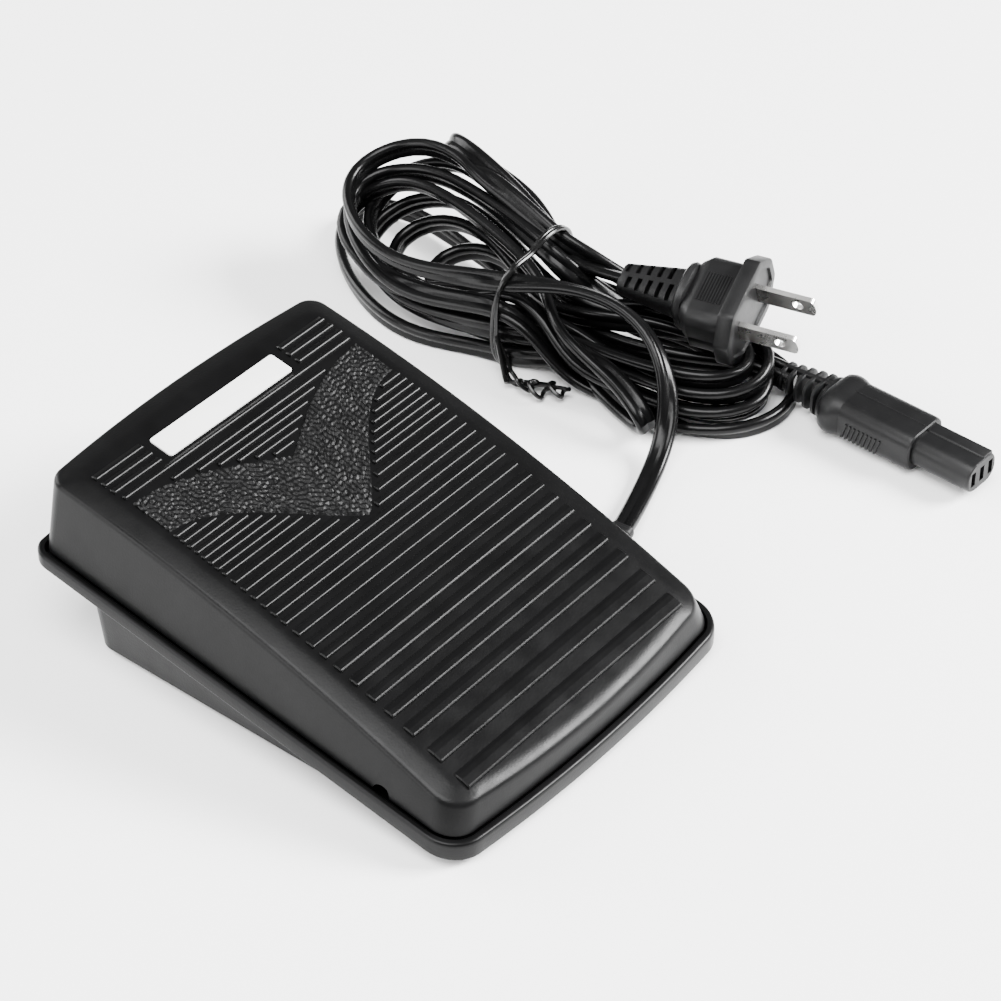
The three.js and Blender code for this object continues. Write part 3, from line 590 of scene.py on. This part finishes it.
# ---- moulded parts on the cords -------------------------------------------------------
def box_ring(x, wide, high, r, y=0.0, z=0.0, steps=5):
    """A rounded rectangle across the X axis."""
    r = min(r, wide / 2 - 0.01, high / 2 - 0.01)
    points = []
    for cy, cz, start in ((1, 1, 0), (-1, 1, 1), (-1, -1, 2), (1, -1, 3)):
        for k in range(steps + 1):
            a = (start + k / steps) * math.pi / 2
            py = cy * (wide / 2 - r) + r * math.cos(a)
            points.append((x, y + py, z + cz * (high / 2 - r) + r * math.sin(a)))
    return points


def bar(rows, steps=5):
    """A solid through rounded rectangles given as (x, wide, high, radius[, y, z])."""
    return loft([box_ring(*row, steps=steps) for row in rows])


def joined(*parts):
    """Several meshes' points and faces as one."""
    verts, faces = [], []
    for v, f in parts:
        faces += [tuple(i + len(verts) for i in face) for face in f]
        verts += v
    return verts, faces


def slanted(x, y, z, lean, thin, deep):
    """A fine leaning ridge across a flank, from the lower height to the upper."""
    z0, z1 = z
    verts = []
    for dy in (0, deep):
        for end, height in ((x, z0), (x + thin, z0), (x + lean + thin, z1), (x + lean, z1)):
            verts.append((end, y + dy, height))
    faces = [(3, 2, 1, 0), (4, 5, 6, 7), (0, 1, 5, 4), (1, 2, 6, 5), (2, 3, 7, 6), (3, 0, 4, 7)]
    return verts, faces


def tube(points, radius, sides=10, closed=False):
    """A round wire along points, its frame carried along without twist."""
    line = np.array(points, float)
    ahead = np.roll(line, -1, axis=0) if closed else np.vstack([line[1:], 2 * line[-1] - line[-2]])
    behind = np.roll(line, 1, axis=0) if closed else np.vstack([2 * line[0] - line[1], line[:-1]])
    tangent = ahead - behind
    tangent /= np.linalg.norm(tangent, axis=1)[:, None]
    up = np.cross(tangent[0], (0.31, 0.17, 0.93))
    rings = []
    for c, t in zip(line, tangent):
        up = up - (up @ t) * t
        up /= np.linalg.norm(up)
        side = np.cross(t, up)
        angles = [2 * math.pi * k / sides for k in range(sides)]
        rings.append([tuple(c + radius * (math.cos(a) * up + math.sin(a) * side)) for a in angles])
    if closed:
        rings.append(rings[0])
    return loft(rings, caps=not closed)


def plug_ring(x, inset):
    """The flange's eight-sided outline with eased corners, drawn in by the inset."""
    corners = [
        (15.8, -3.6), (15.8, 3.6), (9.5, 10.2), (-9.5, 10.2),
        (-15.8, 3.6), (-15.8, -3.6), (-9.5, -10.2), (9.5, -10.2),
    ]
    shape = [Vector((y * (1 - inset / 15.8), z * (1 - inset / 10.2))) for y, z in corners]
    points = []
    for k, corner in enumerate(shape):
        before = corner + (shape[k - 1] - corner).normalized() * 0.9
        after = corner + (shape[(k + 1) % 8] - corner).normalized() * 0.9
        for t in (0, 0.33, 0.67, 1):
            q = before * (1 - t) ** 2 + corner * 2 * t * (1 - t) + after * t * t
            points.append((x, q.x, q.y))
    return points


plug_at = (
    Matrix.Translation(PLUG_AT) @ Matrix.Rotation(PLUG_YAW, 4, "Z")
    @ Matrix.Rotation(PLUG_PITCH, 4, "Y") @ Matrix.Rotation(PLUG_ROLL, 4, "X")
)
connector_at = Matrix.Translation((142.1, -41.5, 6.6)) @ Matrix.Rotation(-1.6, 4, "Z")


def placed(data, at):
    return [at @ Vector(v) for v in data[0]], data[1]


def build_plug():
    flange = loft([plug_ring(x, inset) for x, inset in (
        (-4.6, 0.7), (-4.4, 0.15), (-4.1, 0), (-0.5, 0), (-0.15, 0.15), (0, 0.5), (0, 2.3), (-0.7, 2.7),
    )])
    body = bar([
        (-17.3, 17.5, 11.0, 3.4), (-16.6, 19.5, 12.4, 3.8), (-14.6, 22.4, 13.8, 4), (-14, 23, 14, 4),
        (-6.5, 23, 14, 4), (-5.2, 22.4, 14, 4), (-4.2, 22, 14, 4),
    ])
    flank = bar([(-16, 19, 5, 1.5, 0, -4), (-14, 23.6, 6, 2, 0, -3.6), (-4.2, 23.6, 6, 2, 0, -3.6)])
    collar = bar([
        (-20.1, 12, 10, 4), (-19.9, 15.4, 13.2, 5.4), (-19.2, 17.6, 15.2, 6.4), (-18.3, 18.2, 15.8, 6.6),
        (-17.4, 17.6, 15.2, 6.4), (-16.8, 15.4, 13.2, 5.4), (-16.6, 12, 10, 4),
    ])
    ribs = []
    for k in range(9):
        x = -13.6 + 0.82 * k
        ribs.append(bar([(x, 9.4, 0.9, 0.1, 0, 6.85), (x + 0.42, 9.4, 0.9, 0.1, 0, 6.85)], 1))
    main = raw("plug_main", *placed(body, plug_at))
    slots = []
    for side in (-1, 1):
        y = side * 6.35
        slots.append(raw("slot", *placed(box_data(-6, 1, y - 0.85, y + 0.85, -3.3, 3.3), plug_at)))
    front = raw("plug_front", *placed(flange, plug_at))
    cut(front, *slots)
    extras = raw("plug_extras", *placed(joined(flank, collar, *ribs), plug_at))
    shell = merged("plug_shell", main, extras, front)
    return finish_piece(shell, "moulded_black", "base", ["plug_body"])


def build_boot(name, at, x0, length, big, small, windows, node):
    """A flat tapered boot with a spine and two staggered rows of windows."""
    rows = []
    for k in range(9):
        t = k / 8
        w, h = (big[0] + (small[0] - big[0]) * t), (big[1] + (small[1] - big[1]) * t)
        rows.append((x0 - length * t, w, h, min(w, h) * 0.34))
    first = rows[0]
    rows = [(x0 + 0.3, first[1] * 0.9, first[2] * 0.9, first[3])] + rows
    last = rows[-1]
    rows.append((last[0] - 0.5, last[1] * 0.86, last[2] * 0.86, last[3] * 0.8))
    boot = raw(name, *placed(bar(list(reversed(rows))), at))
    tools = []
    for k in range(windows):
        t = (k + 0.75) / (windows + 0.6)
        w = big[0] + (small[0] - big[0]) * t
        h = big[1] + (small[1] - big[1]) * t
        for side in (-1, 1):
            x = x0 - length * t - (0.45 * length / windows if side > 0 else 0)
            y0, y1 = sorted((side * 0.75, side * w * 0.43))
            for z0, z1 in ((h * 0.16, h), (-h, -h * 0.16)):
                tools.append(raw("window", *placed(box_data(x - 0.7, x + 0.7, y0, y1, z0, z1), at)))
    cut(boot, *tools)
    return finish_piece(boot, "moulded_black", "base", [node])


def build_connector():
    shell = bar([
        (-0.5, 15.2, 11.2, 3.6), (1.5, 15.7, 11.6, 3.9), (12, 15.8, 11.6, 3.9), (23.8, 15.6, 11.6, 3.7),
        (24.7, 15.2, 11.2, 3.5), (25, 14.4, 10.5, 3.2),
    ])
    bulb = bar([
        (-6.4, 10, 7.5, 3.2), (-6.2, 12.8, 9.6, 4), (-5.3, 13.4, 10, 4.2), (-5.0, 13, 9.8, 4.2),
        (-4.6, 15.4, 10.8, 4.8), (-3.9, 17.6, 12, 5.3), (-2.6, 18.9, 12.5, 5.6), (-1.3, 19.2, 12.6, 5.7),
        (-0.1, 18.6, 12.4, 5.4), (1.0, 17.2, 12, 4.8), (2.2, 15.8, 11.6, 4),
    ])
    extras = [bar([(1.4, 0.3, 0.5, 0.1, 0.5, 5.72), (24, 0.3, 0.5, 0.1, 0.5, 5.72)], 1)]
    for side in (-1, 1):
        for k in range(9):
            x = 3.4 + 1.35 * k
            y = side * 7.85
            extras.append(slanted(x, y - 0.35, (-3.6, 1.2), 1.4, 0.6, 0.7))
    nose = bar([
        (24.4, 12.6, 8.8, 3.8), (42.3, 12.6, 8.8, 3.8), (42.8, 12.3, 8.5, 3.7), (43, 11.7, 8, 3.5),
    ])
    rail = bar([
        (24.6, 4.4, 2.2, 0.6, 2.6, 3.7), (42.4, 4.4, 2.2, 0.6, 2.6, 3.7), (42.7, 4, 1.9, 0.5, 2.6, 3.7),
    ], 3)
    front = raw("nose", *placed(nose, connector_at))
    sockets = [
        raw("socket", *placed(box_data(31, 44, y - 0.9, y + 0.9, -2.2, 2.2), connector_at))
        for y in (-3.8, 0, 3.8)
    ]
    cut(front, *sockets)
    main = raw("connector_main", *placed(joined(shell, bulb, rail, *extras), connector_at))
    whole = merged("connector_shell", main, front)
    return finish_piece(whole, "moulded_black", "base", ["connector_body"])


def build_ringed_relief():
    """Five open rings on a top and a bottom spine, the cords showing between them."""
    parts = []
    for k in range(5):
        t = k / 4
        x = -7.2 - 3.05 * k
        w, h = 11.6 - 3.2 * t, 9.8 - 2.2 * t
        parts.append(bar([
            (x - 1.5, w * 0.9, h * 0.9, 3), (x - 1.2, w, h, 3.4),
            (x - 0.4, w, h, 3.4), (x - 0.1, w * 0.9, h * 0.9, 3),
        ]))
    for sign in (-1, 1):
        rows = [(-20.6, 1.7, 1.1, 0.4, 0, sign * 3.3), (-5.6, 2.1, 1.3, 0.4, 0, sign * 4.3)]
        parts.append(bar(rows, 2))
    verts, faces = placed(joined(*parts), connector_at)
    return piece("connector_relief", verts, faces, "moulded_black", "base",
                 ["connector_strain_relief"])


def build_bushing():
    """The ribbed sleeve where the pedal's cord leaves the tray."""
    at = Matrix.Translation((43.4, -27, 4.6)) @ Matrix.Rotation(0.12, 4, "Z")
    neck = bar([(-1.4, 8, 4.6, 1.9), (6.2, 8, 4.6, 1.9)])
    flange = bar([(-1.4, 11, 4.4, 1.6, 0, 0.9), (0, 11, 4.4, 1.6, 0, 0.9)])
    parts = [neck, flange, bar([(5.5, 7.2, 4.1, 1.6), (22.9, 6.5, 3.6, 1.5)])]
    for k in range(6):
        w, h, x = 7.9 - 0.2 * k, 4.6 - 0.13 * k, 6.4 + 2.8 * k
        parts.append(bar([
            (x, w * 0.92, h * 0.92, 1.5), (x + 0.3, w, h, 1.6),
            (x + 1.4, w, h, 1.6), (x + 1.7, w * 0.92, h * 0.92, 1.5),
        ]))
    verts, faces = placed(joined(*parts), at)
    return piece("bushing", verts, faces, "soft_black", "base", ["cord_bushing"])


def hull(points):
    """Convex outline, anticlockwise."""
    points = sorted(set(points))
    sides = []
    for seq in (points, points[::-1]):
        line = []
        for q in seq:
            while len(line) > 1:
                a, b = line[-2], line[-1]
                if (b[0] - a[0]) * (q[1] - a[1]) - (b[1] - a[1]) * (q[0] - a[0]) > 0:
                    break
                line.pop()
            line.append(q)
        sides += line[:-1]
    return sides


def build_tie():
    """A thin wire drawn round the strands at the waist, its tails twisted near the floor."""
    near = [(round(x, 3), round(z, 3)) for x, y, z in pedal_verts + mains_verts if 43 < y < 47.5]
    edge = np.array(hull(near))
    middle = edge.mean(axis=0)
    line = []
    for k in range(64):
        a = math.radians(205 - 360 * k / 64)
        way = np.array((math.cos(a), math.sin(a)))
        reach = max((edge - middle) @ way) + 0.75
        line.append(middle + way * reach)
    line = np.array(line)
    for _ in range(3):
        line = 0.25 * np.roll(line, 1, axis=0) + 0.5 * line + 0.25 * np.roll(line, -1, axis=0)
    ring = [(x, 45.2 + 1.6 * math.sin((z - 4) * 0.07), max(z, 0.75)) for x, z in line]
    twin = [(x, y + 1.35 * math.sin(z * 0.12), z) for x, y, z in ring]
    data = [tube(ring, 0.7, closed=True), tube(twin, 0.7, closed=True)]
    x0, y0, z0 = ring[2]
    for phase, spread, reach in ((0.0, 1.5, 1.0), (2.3, 1.9, 0.8), (4.2, 1.1, 0.9)):
        tail = [(x0, y0, z0)]
        for k in range(30):
            t = k / 29 * reach
            a = phase + t * 12 + 1.3 * math.sin(t * 7 + phase)
            tail.append((
                99.4 + 1.5 * math.sin(t * 3 + phase) + 3.4 * t * t + spread * math.cos(a),
                40.5 - 17.5 * t + 1.2 * math.sin(1.7 * a),
                max(0.75, 3.0 + spread * 0.9 * math.sin(a)),
            ))
        data.append(tube(spline(tail, 0.8), 0.62, 8))
    verts, faces = joined(*data)
    return piece("tie_wire", verts, faces, "tie_black", "base", ["twist_tie"])


bushing = build_bushing()
plug_shell = build_plug()
plug_boot = build_boot("plug_boot", plug_at, -19.8, 17.8, (13.5, 10.2), (8.6, 5.6), 5, "plug_strain_relief")
connector_shell = build_connector()
connector_relief = build_ringed_relief()
tie_wire = build_tie()


# ---- pedal shape --------------------------------------------------------------------
TOP_HEIGHT, TOP_SLOPE, TOP_CURVE = 37.116, 0.27227, 0.0010561


def rim_bottom(y):
    return 12.9 + 0.1674 * y


def rim_top(y):
    return 17.6 + 0.1588 * y


def cover_top(y):
    return TOP_HEIGHT + TOP_SLOPE * y - TOP_CURVE * y * y


CORNER, SIDE, END = 10, 26, 10        # points along each part of an outline


def outline(half, low, low_bow, low_r, high, high_bow, high_r):
    """Plan outline with bowed ends and round corners; points i and n-1-i mirror in X."""
    right = []
    for j in range(END):
        t = (j + 0.5) / END
        right.append((t * (half - low_r), -low - low_bow * (1 - t * t)))
    for j in range(CORNER + 1):
        a = (j / CORNER - 1) * math.pi / 2
        right.append((half - low_r + low_r * math.cos(a), -low + low_r + low_r * math.sin(a)))
    y0, y1 = -low + low_r, high - high_r
    for j in range(1, SIDE):
        right.append((half, y0 + (y1 - y0) * j / SIDE))
    for j in range(CORNER + 1):
        a = j / CORNER * math.pi / 2
        right.append((half - high_r + high_r * math.cos(a), high - high_r + high_r * math.sin(a)))
    for j in range(END - 1, -1, -1):
        t = (j + 0.5) / END
        right.append((t * (half - high_r), high + high_bow * (1 - t * t)))
    return right + [(-x, y) for x, y in reversed(right)]


def shrunk(size, d, radius=1.0):
    """An outline's sizes moved in by d."""
    half, low, low_bow, low_r, high, high_bow, high_r = size
    return (half - d, low - d, low_bow, max(low_r - d, radius), high - d, high_bow, max(high_r - d, radius))


def ring(size, height):
    return [(x, y, height(y)) for x, y in outline(*size)]


def rounded(rings, radii, steps=5):
    """Rings through the corners of a profile, each inner corner eased by a small arc."""
    made = [rings[0]]
    for before, corner, after, r in zip(rings, rings[1:], rings[2:], radii):
        arc = [[] for _ in range(steps + 1)]
        for a, c, b in zip(before, corner, after):
            a, c, b = Vector(a), Vector(c), Vector(b)
            da, db = a - c, b - c
            p = c + da.normalized() * min(r, da.length * 0.48)
            q = c + db.normalized() * min(r, db.length * 0.48)
            for k in range(steps + 1):
                t = k / steps
                arc[k].append(tuple(p * (1 - t) ** 2 + c * 2 * t * (1 - t) + q * t * t))
        made += arc
    return made + [rings[-1]]


# Outlines of the cover's foot, its crease and its flat top, and of the tray's rim: half width,
# low end, its bow and corner radius, high end, its bow and corner radius.
FOOT = (50.7, 65.4, 2.0, 7.6, 65.2, 2.0, 3.4)
CREASE = (48.0, 64.2, 2.8, 8.0, 64.5, 2.1, 5.0)
FLAT = (42.3, 62.3, 2.9, 5.5, 58.6, 1.6, 4.0)
RIM = (53.0, 67.7, 2.0, 9.6, 67.7, 2.0, 5.0)
HINGE_Y, HINGE_Z = -42.7, 9.0
LUG_X = (-38.8, 38.8)
LABEL_Y = 51.15


def crease_height(y):
    """The bevel's lower edge, which rises a little at the low end."""
    front = max(0.0, min(1.0, (-y - 56) / 8))
    return cover_top(y) - 1.66 + 0.75 * front


def build_cover():
    inner = shrunk(FLAT, 3)
    rings = [
        ring(shrunk(FOOT, 1.1), lambda y: rim_top(y) + 0.05),
        ring(FOOT, rim_top),
        ring(CREASE, crease_height),
        ring(FLAT, cover_top),
        ring(inner, cover_top),
    ]
    outer = rounded(rings, (0.3, 1.3, 1.6))
    inside = [
        ring(shrunk(FOOT, 2.2), lambda y: rim_top(y) + 0.05),
        ring(shrunk(CREASE, 2.2), lambda y: cover_top(y) - 3.6),
        ring(shrunk(FLAT, 1.2), lambda y: cover_top(y) - 2.3),
    ]
    verts, faces = loft(list(reversed(inside)) + outer)
    cover = raw("cover_shell", verts, faces)
    window = (5.2, 5.4, 2.4, HINGE_Y, rim_top(HINGE_Y) - 0.6)
    notch = raw("notch", *bar([(-60, *window), (60, *window)]))
    core = raw("core", *box_data(-47, 47, -60, 0, 0, 30))
    cut(notch, core)
    tilt = math.atan(TOP_SLOPE - 2 * TOP_CURVE * LABEL_Y)
    seat = Matrix.Translation((0, LABEL_Y, cover_top(LABEL_Y) - 0.45)) @ Matrix.Rotation(tilt, 4, "X")
    verts, faces = rounded_slab(22.6, 4.15, 1.0, 0, 3)
    recess = raw("recess", [seat @ Vector(v) for v in verts], faces)
    cut(cover, notch, recess)
    finish_piece(cover, "shell", "cover", ["top_cover"])
    verts, faces = rounded_slab(22.2, 3.75, 0.8, 0.05, 0.55, ease=0.12)
    piece("label", verts, faces, "label", "cover", ["label_plate"], matrix=seat)


def rounded_slab(w, h, r, z0, z1, ease=0.0, steps=6):
    """A flat slab with round corners in plan and an optional eased top edge."""
    def plan(d):
        points = []
        for cx, cy, start in ((w - r, h - r, 0), (r - w, h - r, 1), (r - w, r - h, 2), (w - r, r - h, 3)):
            for k in range(steps + 1):
                a = (start + k / steps) * math.pi / 2
                points.append((cx + (r - d) * math.cos(a), cy + (r - d) * math.sin(a)))
        return points
    layers = [(0, z0), (0, z1 - ease)]
    if ease:
        layers += [(ease * 0.3, z1 - ease * 0.3), (ease, z1)]
    verts, faces = [], []
    n = 4 * (steps + 1)
    for d, z in layers:
        verts += [(x, y, z) for x, y in plan(d)]
    for k in range(len(layers) - 1):
        for i in range(n):
            faces.append((k * n + i, k * n + (i + 1) % n, (k + 1) * n + (i + 1) % n, (k + 1) * n + i))
    faces += [tuple(range(n - 1, -1, -1)), tuple(range((len(layers) - 1) * n, len(layers) * n))]
    return verts, faces


build_cover()


def build_tray():
    lip = 1.9
    rings = [
        ring(shrunk(RIM, 1.0), rim_bottom),
        ring(RIM, lambda y: rim_bottom(y) + 0.3),
        ring(RIM, rim_top),
        ring(shrunk(RIM, lip), rim_top),
        ring(shrunk(RIM, lip), lambda y: rim_bottom(y) + 1.2),
        ring(shrunk(RIM, 5.6), lambda y: rim_bottom(y) + 1.2),
    ]
    rim = rounded(rings, (0.4, 1.1, 0.3, 0.3))
    cavity = (45.2, 57.5, 0.01, 4.0, 51.0, 0.01, 3.5)
    well = [ring(cavity, lambda y: rim_bottom(y) + 1.2), ring(cavity, lambda y: 2.9)]
    foot = (47.4, 60.0, 0.01, 6.0, 53.0, 0.01, 5.0)
    wide = (48.8, 60.0, 0.01, 6.0, 54.6, 0.01, 5.5)
    under = [
        ring(shrunk(foot, 0.9), lambda y: 0.9),
        ring(foot, lambda y: 1.7),
        ring(wide, lambda y: max(rim_bottom(y), 1.75)),
    ]
    verts, faces = loft(under + rim + well)
    tray = raw("tray", verts, faces)
    for x, y in ((-36, -50), (36, -50), (-36, 43), (36, 43)):
        cut(tray, raw("seat", *cylinder_data(6.3, -1, 1.75, Matrix.Translation((x, y, 0)))))
    hole = bar([(-3, 9.7, 5.0, 2.0), (8, 9.7, 5.0, 2.0)])
    cut(tray, raw("hole", *placed(hole, Matrix.Translation((42.8, -27, 4.6)))))
    lugs = [loft([box_ring(x + side, 8, 11, 3.5, HINGE_Y, 8) for side in (-1.8, 1.8)]) for x in LUG_X]
    lug = raw("lugs", *joined(*lugs))
    for x in LUG_X:
        bore = Matrix.Translation((x, HINGE_Y, HINGE_Z)) @ Matrix.Rotation(math.pi / 2, 4, "Y")
        cut(lug, raw("bore", *cylinder_data(1.85, -4, 4, bore)))
    finish_piece(lug, "shell", "base", ["base_tray"])
    finish_piece(tray, "shell", "base", ["base_tray"])


build_tray()

# ---- ribs and grained panel -----------------------------------------------------------
# Low-end edges of the ribs: broad pads at the low end, then even ones, then finer ones.
EVEN_PITCH, FINE_PITCH = 3.12, 2.2
STEPS = [-61.5, -53.3, -45.0, -38.7, -33.4, -28.1, -23.1, -18.5, -14.5, -10.2, -6.1]
while STEPS[-1] < 41:
    STEPS.append(STEPS[-1] + (EVEN_PITCH if STEPS[-1] < 12 else FINE_PITCH))
RIB_HALF = 41.0


def panel_low(x):
    return 3.0 + 27.5 * math.sin(math.pi / 2 * min(1, abs(x) / RIB_HALF)) ** 1.25


def panel_high(x):
    return 28.0 + 15.0 * math.sin(math.pi / 2 * min(1, abs(x) / RIB_HALF))


def crossing(edge, y):
    """How far from the middle the panel's edge reaches this y."""
    spots = [k * 0.1 for k in range(int(RIB_HALF * 10) + 1)]
    return next((x for x in spots if edge(x) >= y), RIB_HALF)


def build_ribs():
    verts, faces = [], []
    for y0, y1 in zip(STEPS, STEPS[1:] + [STEPS[-1] + FINE_PITCH]):
        wide = (y1 - y0) * 0.5
        outer = crossing(panel_low, y0 + wide) + 0.4
        inner = crossing(panel_high, y0) - 0.4
        if y0 + wide < panel_low(0):
            add_rib(verts, faces, -RIB_HALF, RIB_HALF, y0, wide)
            continue
        if outer < RIB_HALF - 2:
            add_rib(verts, faces, -RIB_HALF, -outer, y0, wide)
            add_rib(verts, faces, outer, RIB_HALF, y0, wide)
        if y0 > panel_high(0) and inner > 2:
            add_rib(verts, faces, -inner, inner, y0, wide)
    add_rib(verts, faces, -RIB_HALF, RIB_HALF, 44.6, 1.1)
    for y in (47.6, 50.6, 53.6):
        add_rib(verts, faces, -41.5, -25.0, y, 1.5)
        add_rib(verts, faces, 25.0, 41.5, y, 1.5)
    piece("cover_ribs", verts, faces, "shell", "cover", ["top_cover"], smooth=False)


def add_rib(verts, faces, x0, x1, y0, wide, high=0.75):
    """A low pad: a steep heel-side edge with a bright chamfer and a softly sloping back."""
    soft = 1.0 if wide > 2.2 else 0.6
    section = [
        (-0.05, -0.4), (0.0, high - 0.32 * soft), (0.1 * soft, high - 0.2 * soft), (0.34 * soft, high),
        (wide * 0.55, high * 0.95),
        (wide * 0.85, high * 0.74), (wide, high * 0.5), (wide + 0.6, 0.03), (wide + 0.7, -0.4),
    ]
    start = len(verts)
    n = len(section)
    for x, inset in ((x0, 0.3), (x0 + 0.3, 0), (x1 - 0.3, 0), (x1, 0.3)):
        for dy, dz in section:
            y = y0 + dy
            lift = dz - inset if dz > 0.05 else dz
            verts.append((x, y, cover_top(y) + max(lift, -0.4)))
    for k in range(3):
        for i in range(n):
            a, b = start + k * n + i, start + k * n + (i + 1) % n
            faces.append((a, b, b + n, a + n))
    faces.append(tuple(range(start + n - 1, start - 1, -1)))
    faces.append(tuple(range(start + 3 * n, start + 4 * n)))


def build_panel():
    """The grained panel: short wandering ridges made from waves in all directions."""
    rng = np.random.default_rng(7)
    waves, length, spread = 70, 1.45, 0.16
    turn = rng.uniform(0, 2 * math.pi, waves)
    wave = 2 * math.pi / rng.normal(length, spread, waves)
    phase = rng.uniform(0, 2 * math.pi, waves)
    columns, rows = 281, 92
    x = np.linspace(-RIB_HALF + 0.3, RIB_HALF - 0.3, columns)
    low = np.array([panel_low(v) for v in x])
    high = np.array([panel_high(v) for v in x])
    t = np.linspace(0, 1, rows)
    y = low[:, None] + (high - low)[:, None] * t[None, :]
    xs = np.repeat(x[:, None], rows, axis=1)
    grain = np.zeros_like(y)
    for a, k, f in zip(turn, wave, phase):
        grain += np.cos(k * (math.cos(a) * xs + math.sin(a) * y) + f)
    grain = np.tanh(grain / math.sqrt(waves / 2) * 1.1)
    fade = np.minimum(1, np.minimum(t, 1 - t)[None, :] * rows / 3) * np.ones_like(y)
    z = cover_top(y) + (0.28 + 0.25 * grain) * fade - 0.2 * (1 - fade)
    top = [tuple(v) for v in np.stack([xs, y, z], axis=2).reshape(-1, 3)]
    under = [(px, py, float(cover_top(py)) - 0.5) for px, py, _ in top]
    count = len(top)
    faces = []
    for i in range(columns - 1):
        for j in range(rows - 1):
            a = i * rows + j
            faces.append((a, a + rows, a + rows + 1, a + 1))
    edge = [i * rows for i in range(columns)] + [(columns - 1) * rows + j for j in range(1, rows)]
    edge += [i * rows + rows - 1 for i in range(columns - 2, -1, -1)] + list(range(rows - 2, 0, -1))
    rim = {v: count + k for k, v in enumerate(edge)}
    verts = top + [under[v] for v in edge]
    for a, b in zip(edge, edge[1:] + edge[:1]):
        faces.append((a, rim[a], rim[b], b))
    faces.append(tuple(rim[v] for v in edge))
    piece("cover_grain", verts, faces, "shell", "cover", ["top_cover"], look="grain")


build_ribs()
build_panel()

# ---- floor and lights ---------------------------------------------------------------
floor_mat = bpy.data.materials.new("floor")
floor_mat.use_nodes = True
floor_mat.node_tree.nodes["Principled BSDF"].inputs["Base Color"].default_value = (0.98, 0.98, 0.98, 1)
floor_mat.node_tree.nodes["Principled BSDF"].inputs["Roughness"].default_value = 0.9
bpy.ops.mesh.primitive_plane_add(size=12, location=(0, 0, -0.0002))
floor = bpy.context.object
floor.name = "floor"
floor.data.materials.append(floor_mat)


def area(name, direction, distance, size, power):
    """A square area light that faces the camera's target."""
    light = bpy.data.lights.new(name, "AREA")
    light.energy, light.size = power, size
    obj = bpy.data.objects.new(name, light)
    bpy.context.collection.objects.link(obj)
    way = Vector(direction).normalized()
    obj.location = TARGET + way * distance
    obj.rotation_mode = "QUATERNION"
    obj.rotation_quaternion = way.to_track_quat("Z", "Y")


area("key", (0.6, -0.6, 0.55), 1.6, 0.65, 120)
area("top", (-0.35, -0.15, 1.0), 1.7, 1.1, 62)
area("left", (-0.9, 0.25, 0.4), 1.8, 1.2, 36)
area("back", (-0.2, 0.95, 0.45), 1.9, 1.2, 50)
world = bpy.data.worlds.new("world")
world.use_nodes = True
world.node_tree.nodes["Background"].inputs["Color"].default_value = (1, 1, 1, 1)
world.node_tree.nodes["Background"].inputs["Strength"].default_value = 0.42
bpy.context.scene.world = world
